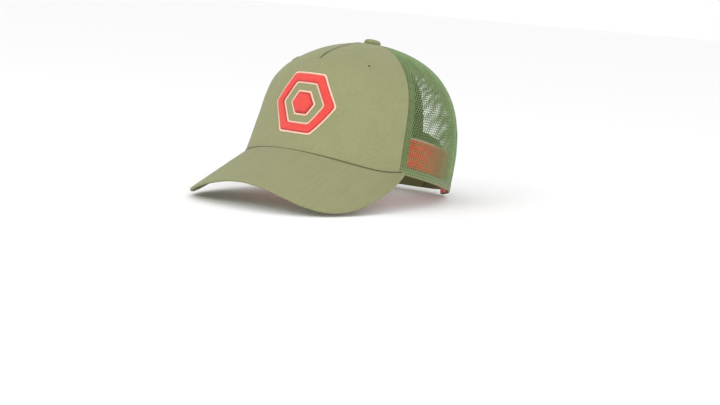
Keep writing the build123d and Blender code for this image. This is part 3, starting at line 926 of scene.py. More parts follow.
def knitted_panel(name, first, last, stands_for):
    """Hexagonal holes between ridged strands, with the strands' edges at half their depth."""
    gore = Gore(first, last)
    rng = np.random.default_rng(len(name) + int(first) % 7)
    widest = max(-gore.left.min(), gore.right.max())
    rows = int((gore.length - MESH_BOTTOM) / (1.5 * CELL_RADIUS))
    columns = int(widest / CELL_PITCH) + 2
    ridge_index, ridge_places, cells = {}, [], []
    for row in range(rows):
        v = FIRST_ROW + row * 1.5 * CELL_RADIUS
        if v > gore.length - POLE_GAP - 1:
            break
        left, right = gore.edges(np.array(v))
        for column in range(-columns, columns + 1):
            u = (column + 0.5 * (row % 2)) * CELL_PITCH
            if left - 0.4 * CELL_PITCH < u < right + 0.4 * CELL_PITCH:
                cells.append((u, v, row, 2 * column + row % 2))
    centres = np.array([(c[0], c[1]) for c in cells])
    keep = ~in_arch(crown_base(*gore.place(centres[:, 0], centres[:, 1])), 2.0)
    cells = [cell for cell, kept in zip(cells, keep) if kept]
    corner_steps = [(1, 1), (0, 2), (-1, 1), (-1, -1), (0, -2), (1, -1)]
    rings = []
    for u, v, row, column in cells:
        ring = []
        for across, along in corner_steps:
            key = (column + across, 3 * row + along)
            if key not in ridge_index:
                ridge_index[key] = len(ridge_places)
                ridge_places.append((key[0] * CELL_PITCH / 2, FIRST_ROW + key[1] * CELL_RADIUS / 2))
            ring.append(ridge_index[key])
        rings.append(ring)
    rings = np.array(rings)
    ridges = np.array(ridge_places)
    ridges = ridges + rng.normal(size=ridges.shape) * 0.035
    middle = ridges[rings].mean(axis=1, keepdims=True)
    open_share = 0.8 + 0.025 * rng.normal(size=(len(rings), 1, 1))
    holes = (middle + (ridges[rings] - middle) * open_share).reshape(-1, 2)
    ridge_count, hole_count = len(ridges), len(holes)
    flat = np.concatenate([ridges, ridges, holes])
    depth = np.concatenate([
        np.full(ridge_count, STRAND_OUTER), np.full(ridge_count, STRAND_INNER),
        np.full(hole_count, STRAND_EDGE),
    ])
    depth[:ridge_count] += 0.05 * rng.normal(size=ridge_count)
    stations, runs = gore.place(flat[:, 0], flat[:, 1])
    points = cloth_point(stations, runs, depth)
    hole = 2 * ridge_count + np.arange(hole_count).reshape(-1, 6)
    after = np.roll(np.arange(6), -1)
    top = np.stack([rings, rings[:, after], hole[:, after], hole], -1).reshape(-1, 4)
    low = rings + ridge_count
    bottom = np.stack([low[:, after], low, hole, hole[:, after]], -1).reshape(-1, 4)
    pairs = np.stack([rings, rings[:, after]], -1).reshape(-1, 2)
    order = np.sort(pairs, axis=1)
    _, back, uses = np.unique(order, axis=0, return_inverse=True, return_counts=True)
    rim = pairs[uses[back.ravel()] == 1]
    side = np.stack([rim[:, 1], rim[:, 0], rim[:, 0] + ridge_count, rim[:, 1] + ridge_count], -1)
    faces = np.concatenate([top, bottom, side])
    flat_places = np.concatenate([flat, np.zeros((len(flat), 1))], axis=1)
    piece = make_piece(name, points, faces.tolist(), GREEN, "mesh", stands_for, CAP, flat_places)
    levels = np.linspace(MESH_BOTTOM, gore.length, 200)
    left, right = gore.edges(levels)
    area = float(np.sum(right - left) * (levels[1] - levels[0]))
    if "back" in name:
        area -= math.pi / 4 * (ARCH_HALF_WIDTH + 2) * (ARCH_HEIGHT + 2) * 1.05
    return piece


for side, first, last in (
    ("left", FRONT_SEAM, REAR_SEAM), ("right", 180 - REAR_SEAM, 180 - FRONT_SEAM)
):
    knitted_panel("side_mesh_cloth_" + side, first, last, ["side_mesh_" + side])
knitted_panel("back_mesh_cloth_left", REAR_SEAM, BACK_SEAM, ["back_mesh_left"])
knitted_panel("back_mesh_cloth_right", BACK_SEAM, 180 - REAR_SEAM, ["back_mesh_right"])


# ---- Folded edges, seam allowances and tapes inside the crown ----
def strip_piece(name, seam, first, last, low, high, outer, inner, material, slot, stands_for):
    """A strip of even width along a seam, from one sideways offset to another."""
    offsets = spaced(first, last, 1.4, 0.4)[:, None]
    runs = spaced(low, high, 2.0, 0.4)[None] + 0 * offsets
    base = cloth_point(at_seam(seam, offsets, runs), runs)
    sheet_piece(name, base, outer, inner, material, slot, stands_for, edge=0.3)


def inner_stitches(seam, offset, low, high, out):
    """Stitches beside a seam, seen from inside the crown."""
    runs = np.arange(low, high, 0.8)
    stations = at_seam(seam, offset, runs)
    return stitch_mesh(cloth_point(stations, runs, out), -crown_normal(stations, runs))


SEAM_START = 6.5
FOLD_WIDTH, FOLD_OUTER, FOLD_INNER = 7.0, -0.86, -1.5
TAPE_HALF_WIDTH, TAPE_OUTER, TAPE_INNER, TAPE_STITCH = 5.0, -1.6, -2.15, 3.6
SEAM_DEPTH, SEAM_RADIUS = -0.18, 0.32


def seam_fold(name, seam, first, last, low, node):
    """A seam allowance pressed flat inside the crown."""
    strip_piece(
        name, seam, first, last, low, run_at_radius(seam, 18), FOLD_OUTER, FOLD_INNER, GREEN_FOLD_SHADED,
        "mesh_fold", [node],
    )


def inner_tape(name, seam, low, thread, node, inset=1.0):
    """A tape over a seam inside the crown, with a row of stitches near each of its edges."""
    top = run_at_radius(seam, 12)
    strip_piece(
        "inner_tape_" + name, seam, -TAPE_HALF_WIDTH, TAPE_HALF_WIDTH, low, top, TAPE_OUTER, TAPE_INNER,
        TAPE, "seam_tape", [node],
    )
    rows = [
        inner_stitches(seam, offset, low + inset, top - 1, TAPE_INNER)
        for offset in (-TAPE_STITCH, TAPE_STITCH)
    ]
    make_piece("tape_stitches_" + name, *joined(rows), thread, "seam_tape")


def sewn_seam(name, seam, low, material, slot):
    """The line of thread that shows in a seam of the crown."""
    runs = np.arange(low, float(meridian_length(seam)) - SEAM_START, 0.9)
    stations = np.full_like(runs, seam)
    path, normals = cloth_point(stations, runs, SEAM_DEPTH), crown_normal(stations, runs)
    tube = tube_mesh(path, normals, SEAM_RADIUS, SEAM_RADIUS, 8)
    make_piece("seam_line_" + name, *tube, material, slot)


for side, front, rear in (
    ("left", FRONT_SEAM, REAR_SEAM), ("right", 180 - FRONT_SEAM, 180 - REAR_SEAM)
):
    # The front seam's allowance lies to the rear of the seam, on the mesh
    first = 0.0 if side == "left" else -FOLD_WIDTH
    seam_fold(
        "front_seam_fold_" + side, front, first, first + FOLD_WIDTH, SEAM_START,
        "seam_allowance_front_" + side,
    )
    seam_fold(
        "rear_seam_fold_" + side, rear, -FOLD_WIDTH, FOLD_WIDTH, SEAM_START,
        "seam_allowance_rear_" + side,
    )
    for end, seam, material, slot in (
        ("front_", front, OLIVE_SEAM, "twill"), ("rear_", rear, GREEN_BINDING, "mesh_fold")
    ):
        inner_tape(end + side, seam, SEAM_START, GREEN_THREAD, "seam_tape_" + end + side, inset=1.5)
        sewn_seam(end + side, seam, 1.0, material, slot)

above_arch = run_at_height(BACK_SEAM, ARCH_HEIGHT + BINDING_WIDTH - 0.5)
seam_fold("back_seam_fold", BACK_SEAM, -FOLD_WIDTH, FOLD_WIDTH, above_arch, "seam_allowance_back")
inner_tape("back", BACK_SEAM, above_arch, GREEN_THREAD, "seam_tape_back")
sewn_seam("back", BACK_SEAM, above_arch, GREEN_BINDING, "mesh_fold")
inner_tape("dart", -90, DART_RUN, KHAKI_THREAD, "dart_tape")


def cell_depth(u, v):
    """How deep in one of the mesh's six-sided cells a flat place is: 0 on a strand, 1 in a hole."""
    turn = 4 * math.pi / (math.sqrt(3) * CELL_PITCH)
    total = np.cos(v * turn)
    for sign in (-1, 1):
        total = total + np.cos(turn * (math.sqrt(3) / 2 * u + sign * 0.5 * v))
    return smooth((total + 0.6) / 2.2)


# The hem: the mesh turned up inside along the rim, held by a row of stitches
ARCH_STATION = math.degrees(math.acos((ARCH_HALF_WIDTH + BINDING_WIDTH - 1.5) / HALF_WIDTH))
for side, first, last in (
    ("left", FRONT_SEAM, ARCH_STATION), ("right", 180 - ARCH_STATION, 180 - FRONT_SEAM)
):
    stations = spaced(first, last, 0.34, 0.3)
    share = spaced(0, HEM_HEIGHT, 0.4, 0.5)
    turns = stations[:, None] + 0 * share[None]
    runs = share[None] + 0.5 + 0 * turns
    hem_base = cloth_point(turns, runs)
    hem_step = np.linalg.norm(np.diff(hem_base[:, 8], axis=0), axis=-1)
    around = np.concatenate([[0], np.cumsum(hem_step)])[:, None]
    hem_outer = 0.2 - 0.32 * cell_depth(around, runs)
    sheet_piece(
        "hem_fold_" + side, hem_base, hem_outer, FOLD_INNER, GREEN_FOLD_SHADED, "mesh_fold",
        ["mesh_hem_" + side], edge=0.7,
    )
    path_turns = np.arange(first + 1, last - 1, 0.5)
    path = cloth_point(path_turns, np.full_like(path_turns, 5.9), 0.14)
    normals = crown_normal(path_turns, np.full_like(path_turns, 5.9))
    make_piece("hem_stitches_" + side, *stitch_mesh(path, normals), GREEN_THREAD, "mesh_fold")


# ---- Arch binding ----
def facing_point(x, z, out, rear=False):
    """A point of the sewn crown given by its place seen from ahead or behind, and its normal."""
    point, station = crown_facing(x, z, rear)
    across, _ = crown_facing(x + 0.3, z, rear)
    up, _ = crown_facing(x, z + 0.3, rear)
    normal = unit(np.cross(across - point, up - point)) * (-1.0 if rear else 1.0)
    lift = sway(point, station, z) + out
    return point + normal * np.asarray(lift, float)[..., None], normal


def arch_point(turn, width, out):
    """A point of the crown at an angle round the arch and a distance out from the arch's edge."""
    side = unit(np.stack([np.cos(turn) / ARCH_HALF_WIDTH, np.sin(turn) / ARCH_HEIGHT], -1))
    x = ARCH_HALF_WIDTH * np.cos(turn) + side[..., 0] * width
    z = np.maximum(ARCH_HEIGHT * np.sin(turn) + side[..., 1] * width, 0.3)
    return facing_point(x, z, out, rear=True)


arch_turns = np.linspace(0, math.pi, 170)[:, None]
widths = np.concatenate([[0.0, 0.15, 0.5, 1.0, 1.5], np.linspace(2.2, 7.2, 7), [7.6, 7.9, 8.0]])[None]
nose = np.sqrt(np.clip(1 - (1 - np.clip(widths / 1.5, 0, 1)) ** 2, 0, 1))
tail = smooth((8.0 - widths) / 0.6)
arch_outer = -0.9 + nose * (1.3 - 0.7 * (1 - tail)) + 0 * arch_turns
arch_inner = -0.9 - nose * (1.2 - 0.5 * (1 - tail)) + 0 * arch_turns
arch_base, arch_normals = arch_point(arch_turns + 0 * widths, widths + 0 * arch_turns, 0.0)
arch_base, arch_normals = arch_base[::-1], arch_normals[::-1]
sheet_piece(
    "arch_binding_cloth", arch_base, arch_outer[::-1], arch_inner[::-1], GREEN_BINDING, "binding",
    ["arch_binding"], normals=arch_normals, edge=0.05,
)
line_turns = np.linspace(0.02, math.pi - 0.02, 500)
for name, width, out, facing in (("outer", 6.8, 0.4, 1.0), ("inner", 6.8, -2.1, -1.0)):
    path, normals = arch_point(line_turns, np.full_like(line_turns, width), out)
    make_piece("arch_stitches_" + name, *stitch_mesh(path, normals * facing), GREEN_THREAD, "binding")

# ---- Sweatband: a soft strip turned in along the rim, with a raised pale piping along its top ----
band_stations = spaced(180 - SWEATBAND_END, 360 + SWEATBAND_END, 0.9, 0.4)
band_share = spaced(0, 1, 1 / 20, 0.03)
turns = band_stations[:, None] + 0 * band_share[None]
runs = SWEATBAND_BOTTOM + (SWEATBAND_TOP - SWEATBAND_BOTTOM) * band_share[None] + 0 * turns
band_base = cloth_point(turns, runs, -3.0)
slack = np.sin(np.pi * band_share[None]) ** 0.8
pucker = 0.30 * ripple(band_base * [1, 1, 0.35], 17, 8) + 0.35 * ripple(band_base, 55, 9)
band_outer = -slack * 0.25 + 0 * turns
band_inner = -1.15 - slack * (0.55 + np.clip(pucker, -0.9, 1.4))
sheet_piece(
    "sweatband_cloth", band_base, band_outer, band_inner, RED, "sweatband", ["sweatband"], edge=0.6,
    held="stretched", rests_on=["front_lining"],
)
band_turns = np.arange(180 - SWEATBAND_END + 0.5, 360 + SWEATBAND_END - 0.5, 0.5)
for name, run, out in (("low", 3.2, -4.45), ("high", 29.6, -4.5)):
    flat_runs = np.full_like(band_turns, run)
    path = cloth_point(band_turns, flat_runs, out)
    normals = -crown_normal(band_turns, flat_runs)
    make_piece("sweatband_stitches_" + name, *stitch_mesh(path, normals), PALE, "sweatband")
flat_runs = np.full_like(band_turns, SWEATBAND_TOP + 0.75)
path = cloth_point(band_turns, flat_runs, -3.7)
make_piece(
    "piping_cord", *tube_mesh(path, crown_normal(band_turns, flat_runs), 0.95, 0.9, 12), PALE, "piping",
    ["sweatband_piping"],
)

# ---- Visor ----
VISOR_TAIL, VISOR_TAIL_END = 36.5, (74.9, -29.3)
EDGE_RADIUS = VISOR_THICKNESS / 2
EDGE_SEAM_TURN = -60.0
BOARD_BOTTOM = 2.15
VISOR_TUCK = 2.5


def visor_outline():
    """Edge of the visor from the left end round the front to the right end, seen from above."""
    turn = np.radians(np.linspace(0, 90, 4000))
    share = np.clip(np.cos(turn), 0, 1) ** (2 / VISOR_FRONT_POWER)
    taper = 1 - VISOR_TAPER * (1 - share) ** VISOR_TAPER_POWER
    x = VISOR_HALF_WIDTH * taper * np.sin(turn) ** (2 / VISOR_WIDTH_POWER)
    y = -VISOR_END - (FRONT_LENGTH + VISOR_DEPTH - VISOR_END) * share
    # The ends turn in between the crown's cloth and the sweatband
    kept = y < -VISOR_TAIL
    half = np.stack([x[kept], y[kept]], -1)
    ahead = half[-1] + (half[-1] - half[-40]) / np.linalg.norm(half[-1] - half[-40]) * 4.0
    t = np.linspace(0, 1, 100)[1:, None]
    tail = half[-1] * (1 - t) ** 2 + 2 * ahead * t * (1 - t) + np.array(VISOR_TAIL_END) * t**2
    half = np.concatenate([half, tail])
    return np.concatenate([half[::-1], half[1:] * [-1, 1]])


def visor_surface(x, y):
    """Points of the visor's top and its unit normals."""
    point = np.stack([x, y, visor_top(x, y)], -1)
    slope_x = (visor_top(x + 0.1, y) - visor_top(x - 0.1, y)) / 0.2
    slope_y = (visor_top(x, y + 0.1) - visor_top(x, y - 0.1)) / 0.2
    return point, unit(np.stack([-slope_x, -slope_y, np.ones_like(x)], -1))


outline = visor_outline()
outline = np.concatenate([outline, np.zeros((len(outline), 1))], axis=1)
outline, _ = resample(outline, 1.1)
along = unit(np.gradient(outline, axis=0))
outward = np.stack([along[:, 1], -along[:, 0]], -1)
outward *= np.sign((outward * (outline[:, :2] - [0.0, -60.0])).sum(-1, keepdims=True))
# The rounded edge reaches as far as the outline, seen along the crown's axis
_, edge_normals = visor_surface(outline[:, 0], outline[:, 1])
fall = (edge_normals[:, :2] * outward).sum(-1, keepdims=True)
core = outline[:, :2] - outward * EDGE_RADIUS * (1 - fall)
bend = np.radians(72.0)
inner_turn = np.linspace(bend, -bend, len(outline))
inner_edge = np.stack([
    (HALF_WIDTH - VISOR_TUCK) * np.sin(inner_turn), -(FRONT_LENGTH - VISOR_TUCK) * np.cos(inner_turn)
], -1)
VISOR_ROWS = np.linspace(0, 1, 44)[None, :, None]
plan = inner_edge[:, None] + (core - inner_edge)[:, None] * VISOR_ROWS
top_points, top_normals = visor_surface(plan[..., 0], plan[..., 1])
rim_point, rim_normal = top_points[:, -1], top_normals[:, -1]
outward_3d = np.concatenate([outward, np.zeros((len(outward), 1))], axis=1)
outward_3d = unit(outward_3d - rim_normal * (outward_3d * rim_normal).sum(-1, keepdims=True))
rim_core = rim_point - rim_normal * EDGE_RADIUS


def edge_ring(degrees):
    """Points round the visor's rounded edge: 90 is its top, -90 its underside."""
    turn = np.radians(np.asarray(degrees, float))[None, :, None]
    return rim_core[:, None] + EDGE_RADIUS * (
        np.cos(turn) * outward_3d[:, None] + np.sin(turn) * rim_normal[:, None]
    )


top_cover = np.concatenate(
    [top_points[:, :-1], edge_ring(np.arange(90, EDGE_SEAM_TURN + 1, -11.0))], axis=1
)
under_points = (top_points - top_normals * VISOR_THICKNESS)[:, ::-1]
under_cover = np.concatenate(
    [edge_ring(np.arange(EDGE_SEAM_TURN - 4, -90, -10.0)), under_points], axis=1
)
sheet_piece(
    "visor_cloth_top", top_cover, 0.0, -0.6, KHAKI, "twill", ["visor_top_cover"], edge=0.3,
    held="stretched", rests_on=["visor_stiffener"],
)
sheet_piece(
    "visor_cloth_under", under_cover, 0.0, -0.6, KHAKI_UNDER_SHADED, "twill_under", ["visor_under_cover"],
    edge=0.3, held="stretched", rests_on=["visor_stiffener"],
)
board_plan = inner_edge[:, None] + (core - outward * 0.1 - inner_edge)[:, None] * VISOR_ROWS
board_points, board_normals = visor_surface(board_plan[..., 0], board_plan[..., 1])
sheet_piece(
    "visor_stiffener", board_points, -0.65, -BOARD_BOTTOM, BOARD, "visor_board", ["visor_board"],
    normals=board_normals, edge=0.3,
)
# A dark cord on the underside of the visor's edge, where its top and under covers meet: a painted
# shadow line under the edge.
edge_shadow_path = edge_ring([EDGE_SEAM_TURN])[:, 0]
edge_shadow_normals = unit(edge_shadow_path - rim_core)
make_piece(
    "visor_edge_shadow_cord", *tube_mesh(edge_shadow_path - edge_shadow_normals * 0.12, edge_shadow_normals, 0.32, 0.26, 8),
    OLIVE_SEAM, "twill",
)

# The joint of crown and visor: a dark sewn crease
joint_turns = np.arange(-90 - 67.5, -90 + 67.6, 0.6)
joint_runs = foot_run(joint_turns) + 0.35
make_piece(
    "visor_crown_seam",
    *tube_mesh(
        cloth_point(joint_turns, joint_runs, 0.1), crown_normal(joint_turns, joint_runs), 0.55, 0.5, 10
    ),
    OLIVE_SEAM, "twill",
)

# ---- Button: cloth drawn over a shell and gathered beneath ----
profile = np.array([
    [0.0, 4.08], [1.2, 4.08], [2.4, 4.06], [3.5, 4.02], [4.5, 3.94], [5.1, 3.84], [5.7, 3.64],
    [6.25, 3.28], [6.7, 2.8], [6.98, 2.25], [7.1, 1.6], [7.12, 1.0], [7.0, 0.45], [6.7, 0.0],
    [6.2, -0.28], [5.4, -0.42], [4.2, -0.45],
])
button_turns = np.linspace(0, 2 * math.pi, 144, endpoint=False)
rng = np.random.default_rng(5)
gathers = sum(
    math.cos(phase) * np.sin(count * button_turns + phase)
    for count, phase in zip((11, 17, 23), rng.uniform(0, 6, 3))
)
ring_points = []
for radius, height in profile[1:]:
    hold = smooth((radius - 4.5) / 2.5) * smooth((2.9 - height) / 2.4)
    swell = 1 + 0.016 * gathers * hold
    ring_points.append(np.stack([
        radius * swell * np.cos(button_turns), radius * swell * np.sin(button_turns),
        np.full_like(button_turns, CROWN_HEIGHT + height) + 0.05 * gathers * hold,
    ], -1))
rings, sides = len(ring_points), len(button_turns)
top, bottom = [0, 0, CROWN_HEIGHT + profile[0, 1]], [0, 0, CROWN_HEIGHT - 0.5]
points = np.concatenate([[top], *ring_points, [bottom]])
faces = [(0, 1 + k, 1 + (k + 1) % sides) for k in range(sides)] + lathe_faces(rings, sides, 1)
make_piece("button_cloth", points, faces, KHAKI, "twill", ["button_cover"], CAP, points * [1, 1, 0])

# ---- Emblem: a hexagon ring round a small hexagon, in raised satin stitch on a paler border ----
RING_INNER, BORDER, CORE = EMBLEM_RADIUS - EMBLEM_RING_WIDTH, 1.7, 12.0
SATIN_FOOT, SATIN_SWELL, STITCH_PITCH = 0.45, 1.5, 0.8


def hexagon(turn, radius):
    """Places on a round-cornered hexagon, two corners at its sides."""
    faces_at = np.radians([30.0, 90.0, 150.0])
    spread = sum(np.abs(np.cos(turn - face)) ** 30 for face in faces_at) ** (1 / 30)
    reach = radius * math.cos(math.radians(30)) / spread
    return reach * np.cos(turn), EMBLEM_HEIGHT + reach * np.sin(turn)


def embroidered_ring(name, inner, outer, rise, foot, material, slot, stands_for, ridges):
    """A closed ring of stitches. rise gives its height at shares 0 to 1 of its width."""
    length = math.pi * (inner + outer)
    count = int(length / STITCH_PITCH) * 4
    turn = np.linspace(0, 2 * math.pi, count, endpoint=False)
    share = np.linspace(0, 1, 25)
    radius = inner + (outer - inner) * share
    x, z = hexagon(turn[:, None], radius[None])
    height = rise(share)[None] + 0 * x
    swell = np.sin(np.pi * np.clip(share, 0, 1)) ** 0.5
    comb = np.abs(np.sin(np.arange(count) * math.pi / 4))[:, None]
    rng = np.random.default_rng(count)
    uneven = 0.35 * rng.normal(size=(count // 4, 1)).repeat(4, axis=0)
    height = height + ridges * swell[None] * (comb + uneven)
    top, _ = facing_point(x, z, height)
    bottom, _ = facing_point(x, z, np.minimum(foot, height - 0.02))
    points = np.concatenate([top.reshape(-1, 3), bottom.reshape(-1, 3)])
    across = turn[:, None] * (inner + outer) / 2 + 0 * x
    flat = np.stack([across, radius[None] + 0 * x, 4 * share[None] * (1 - share[None]) + 0 * x], -1)
    flat = np.concatenate([flat.reshape(-1, 3), flat.reshape(-1, 3)])
    return make_piece(name, points, band_faces(*x.shape), material, slot, stands_for, CAP, flat)


def embroidered_core(name, outer, rise, foot, material, slot, stands_for, ridges):
    """A filled hexagon of upright stitches."""
    turn = np.linspace(0, 2 * math.pi, 240, endpoint=False)
    radius = outer * np.linspace(1, 0, 34)[:-1] ** 0.8
    x, z = hexagon(turn[:, None], radius[None])
    share = radius[None] / outer + 0 * x
    lift = rise(share) + ridges * np.abs(np.sin(math.pi * x / STITCH_PITCH)) * np.sqrt(1 - share**8)
    top, _ = facing_point(x, z, lift)
    bottom, _ = facing_point(x, z, np.minimum(foot, lift - 0.02))
    middle, _ = facing_point(np.zeros(1), np.full(1, EMBLEM_HEIGHT), rise(np.zeros(1)))
    low, _ = facing_point(np.zeros(1), np.full(1, EMBLEM_HEIGHT), foot)
    points = np.concatenate([top.reshape(-1, 3), bottom.reshape(-1, 3), middle, low])
    index = np.arange(x.size).reshape(x.shape)
    ahead = np.roll(index, -1, axis=0)
    under, under_ahead = index + x.size, ahead + x.size
    upper = np.stack([index[:, :-1], ahead[:, :-1], ahead[:, 1:], index[:, 1:]], -1)
    lower = np.stack([under[:, :-1], under[:, 1:], under_ahead[:, 1:], under_ahead[:, :-1]], -1)
    faces = np.concatenate([
        upper.reshape(-1, 4), lower.reshape(-1, 4),
        np.stack([index[:, 0], under[:, 0], under_ahead[:, 0], ahead[:, 0]], -1),
    ]).tolist()
    faces += [(2 * x.size, int(a), int(b)) for a, b in zip(index[:, -1], ahead[:, -1])]
    faces += [(2 * x.size + 1, int(b), int(a)) for a, b in zip(under[:, -1], under_ahead[:, -1])]
    flat = np.stack([x, z, 1 - share**2], -1).reshape(-1, 3)
    flat = np.concatenate([flat, flat, [[0, EMBLEM_HEIGHT, 1]] * 2])
    return make_piece(name, points, faces, material, slot, stands_for, CAP, flat)


def border_rise(share):
    """Height of the pale border's rounded stitches, across the ring's width."""
    edge = BORDER / (EMBLEM_RADIUS - RING_INNER)
    near = np.minimum(share, 1 - share) / edge
    return 0.5 + 0.42 * np.sqrt(np.clip(1 - (2 * np.clip(near, 0, 1) - 1) ** 2, 0, 1)) - 0.1


def core_border_rise(share):
    near = (1 - share) * CORE / BORDER
    return 0.4 + 0.42 * np.sqrt(np.clip(1 - (2 * np.clip(near, 0, 1) - 1) ** 2, 0, 1))


def satin_ring_rise(share):
    return SATIN_FOOT + SATIN_SWELL * np.clip(4 * share * (1 - share), 0, 1) ** 0.42


def satin_core_rise(share):
    return SATIN_FOOT + SATIN_SWELL * np.clip(1 - share**5, 0, 1) ** 0.5


embroidered_ring(
    "emblem_ring_border", RING_INNER, EMBLEM_RADIUS, border_rise, -0.1, CORAL_BORDER, "emblem_border",
    ["emblem_border_ring"], 0.05,
)
embroidered_ring(
    "emblem_ring_satin", RING_INNER + BORDER, EMBLEM_RADIUS - BORDER, satin_ring_rise, 0.3, CORAL,
    "emblem_satin", ["emblem_satin_ring"], 0.09,
)
embroidered_core(
    "emblem_core_border", CORE, core_border_rise, -0.1, CORAL_BORDER, "emblem_border",
    ["emblem_border_core"], 0.04,
)
embroidered_core(
    "emblem_core_satin", CORE - BORDER, satin_core_rise, 0.3, CORAL, "emblem_satin",
    ["emblem_satin_core"], 0.09,
)

# ---- Snap strap: two moulded tongues across the arch, one snapped over the other ----
TAB_DEPTH = 2.3
NECK_STATION = math.degrees(math.acos((NECK_X + STRAP_THICKNESS / 2 + 1.0) / HALF_WIDTH))
neck_girth = np.array([HALF_WIDTH * math.cos(math.radians(NECK_STATION)),
                       REAR_LENGTH * math.sin(math.radians(NECK_STATION))])
BEND_START, BEND_END = 38, 25
STRAP_MIDDLE = STRAP_BOTTOM + STRAP_HEIGHT / 2
STRAP_Y = neck_girth[1] * (1 - TAB_DEPTH / float(np.linalg.norm(neck_girth))) + STRAP_GAP / 2
TONGUE_END = (STUD_COUNT - 1) * STUD_PITCH / 2 + STRAP_CORNER - STUD_PITCH / 2
TAB_START_X = HALF_WIDTH * math.cos(math.radians(TAB_STATION)) * 0.975


def strap_half(name, side, middle_y, stands_for):
    """A strap half: a tab lying against the crown, a bend at the neck, and a flat tongue."""
    end = -TONGUE_END
    places = np.concatenate([
        spaced(TAB_START_X, BEND_START, 1.2, 0.5)[:-1], np.arange(BEND_START, BEND_END, -0.5),
        spaced(BEND_END, end, 1.0, 0.5)[1:],
    ])
    share = spaced(-1, 1, 0.07, 0.06)
    x = places[:, None] + 0 * share[None]
    reach = np.minimum(x - end, TAB_START_X - x)
    cut = np.clip(STRAP_CORNER - reach, 0, STRAP_CORNER)
    rounding = np.sqrt(np.clip(STRAP_CORNER**2 - cut**2, 0, None))
    half = STRAP_HEIGHT / 2 - STRAP_CORNER + rounding
    z = STRAP_MIDDLE + half * share[None]
    point, station = crown_facing(np.maximum(x, 12.0), z, rear=True)
    tilt = np.sin(np.arctan2(point[..., 1] / REAR_LENGTH**2, point[..., 0] / HALF_WIDTH**2))
    on_tab = point[..., 1] - TAB_DEPTH / tilt
    soft = 0.8
    y = -soft * np.logaddexp(-on_tab / soft, -(middle_y + 0 * x) / soft)
    base = np.stack([side * x, y, z], -1)
    depth = STRAP_THICKNESS / 2 + 0 * x
    piece = sheet_piece(name, base, depth, -depth, STRAP, "strap", stands_for, None, edge=0.45)
    if side > 0:
        rearward = np.array([0.0, 1.0, 0.0])
        holes = [(np.array([STUD_PITCH * i, middle_y, STRAP_MIDDLE]), rearward) for i in range(-2, 4)]
        punch_holes(piece, holes, STUD_HOLE_RADIUS)
    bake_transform(piece)
    return piece


outer_y = STRAP_Y + STRAP_THICKNESS / 2
inner_y = STRAP_Y - STRAP_GAP - STRAP_THICKNESS / 2
strap_half("snap_strap_holes", 1, outer_y, ["strap_tab_left", "strap_holes"])
strap_half("snap_strap_studs", -1, inner_y, ["strap_tab_right", "strap_studs"])

stud_profile = np.array([
    [1.75, -0.1], [1.45, 0.12], [1.38, 0.5], [1.38, 1.35], [1.5, 1.6], [1.6, 1.85], [1.56, 2.15],
    [1.3, 2.38], [0.8, 2.5], [0.3, 2.53],
])
STUD_SIDES, STUD_TIP = 28, 2.54
turn = np.linspace(0, 2 * math.pi, STUD_SIDES, endpoint=False)
stud_rings = np.stack([
    stud_profile[:, :1] * np.cos(turn), np.repeat(stud_profile[:, 1:], STUD_SIDES, axis=1),
    stud_profile[:, :1] * np.sin(turn),
], -1)
stud_faces = [tuple(range(STUD_SIDES))] + lathe_faces(len(stud_profile), STUD_SIDES, 0)
stud_parts = []
for i in range(STUD_COUNT):
    centre = np.array([STUD_PITCH * (i - 3), inner_y + STRAP_THICKNESS / 2, STRAP_MIDDLE])
    points = np.concatenate([(centre + stud_rings).reshape(-1, 3), [centre + [0, STUD_TIP, 0]]])
    stud_parts.append((points, stud_faces))
make_piece("snap_strap_stud_row", *joined(stud_parts), STRAP, "strap", (), "stud_strap")

# ---- CAD parts that stay as they are ----
for node, material in (("button_shell", SHELL), ("button_rivet", STEEL)):
    for place in frame["nodes"][node].material_slots:
        place.material = material

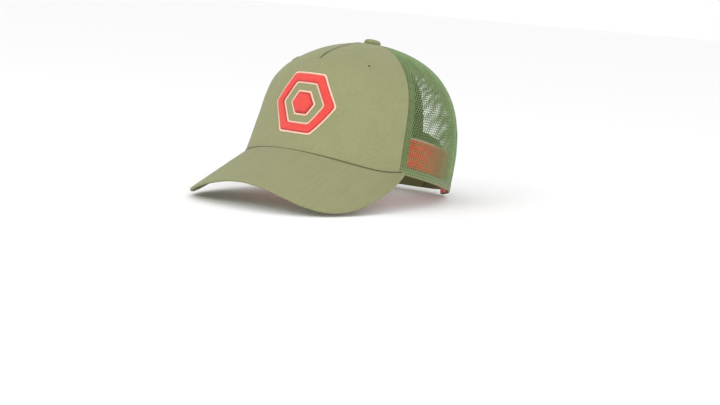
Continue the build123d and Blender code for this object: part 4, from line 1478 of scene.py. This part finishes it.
# ---- Floor, light and camera ----
FLOOR_REACH, FLOOR_HEIGHT = 6.0, -0.0001
floor_mesh = bpy.data.meshes.new("floor")
corners = [(-FLOOR_REACH, -FLOOR_REACH), (FLOOR_REACH, -FLOOR_REACH), (FLOOR_REACH, FLOOR_REACH),
           (-FLOOR_REACH, FLOOR_REACH)]
floor_mesh.from_pydata([(x, y, FLOOR_HEIGHT) for x, y in corners], [], [(0, 1, 2, 3)])
floor = bpy.data.objects.new("floor", floor_mesh)
bpy.context.scene.collection.objects.link(floor)
paper = Shader("pale_floor")
floor_mesh.materials.append(paper.finish(srgb(250, 250, 250), 0.9, specular=0.1))

scene = bpy.context.scene
scene.view_settings.view_transform = "Standard"
world = bpy.data.worlds.new("studio")
scene.world = world
world.use_nodes = True
background = next(n for n in world.node_tree.nodes if n.type == "BACKGROUND")
background.inputs["Color"].default_value = (1, 1, 1, 1)
background.inputs["Strength"].default_value = 1.0


def area_light(name, place, target, size, power):
    light = bpy.data.lights.new(name, "AREA")
    light.shape = "DISK"
    light.size = size
    light.energy = power
    lamp = bpy.data.objects.new(name, light)
    bpy.context.scene.collection.objects.link(lamp)
    lamp.location = place
    lamp.rotation_euler = (Vector(target) - Vector(place)).to_track_quat("-Z", "Y").to_euler()


area_light("key", (-0.3, -1.5, 0.9), (0, 0, 0.06), 0.9, 7.0)
area_light("fill", (1.5, -1.0, 0.45), (0, 0, 0.06), 1.2, 7.5)

CAMERA_TARGET, CAMERA_DISTANCE = Vector((0.0, 0.03182, 0.06918)), 1.5
back = Vector((0.54568, -0.83405, 0.08115)).normalized()
level = Vector((0, 0, 1)).cross(back).normalized()
upright = back.cross(level)
roll, pitch, yaw = math.radians(4.104), math.radians(2.887), math.radians(0.055)
right = level * math.cos(roll) + upright * math.sin(roll)
up = upright * math.cos(roll) - level * math.sin(roll)
lens_data = bpy.data.cameras.new("camera")
lens_data.sensor_width = 36.0
lens_data.lens = 87.47
camera = bpy.data.objects.new("camera", lens_data)
scene.collection.objects.link(camera)
place = CAMERA_TARGET + back * CAMERA_DISTANCE
back, up = back * math.cos(pitch) + up * math.sin(pitch), up * math.cos(pitch) - back * math.sin(pitch)
back, right = back * math.cos(yaw) - right * math.sin(yaw), right * math.cos(yaw) + back * math.sin(yaw)
camera.matrix_world = Matrix((
    (right.x, up.x, back.x, place.x), (right.y, up.y, back.y, place.y),
    (right.z, up.z, back.z, place.z), (0, 0, 0, 1),
))
scene.camera = camera
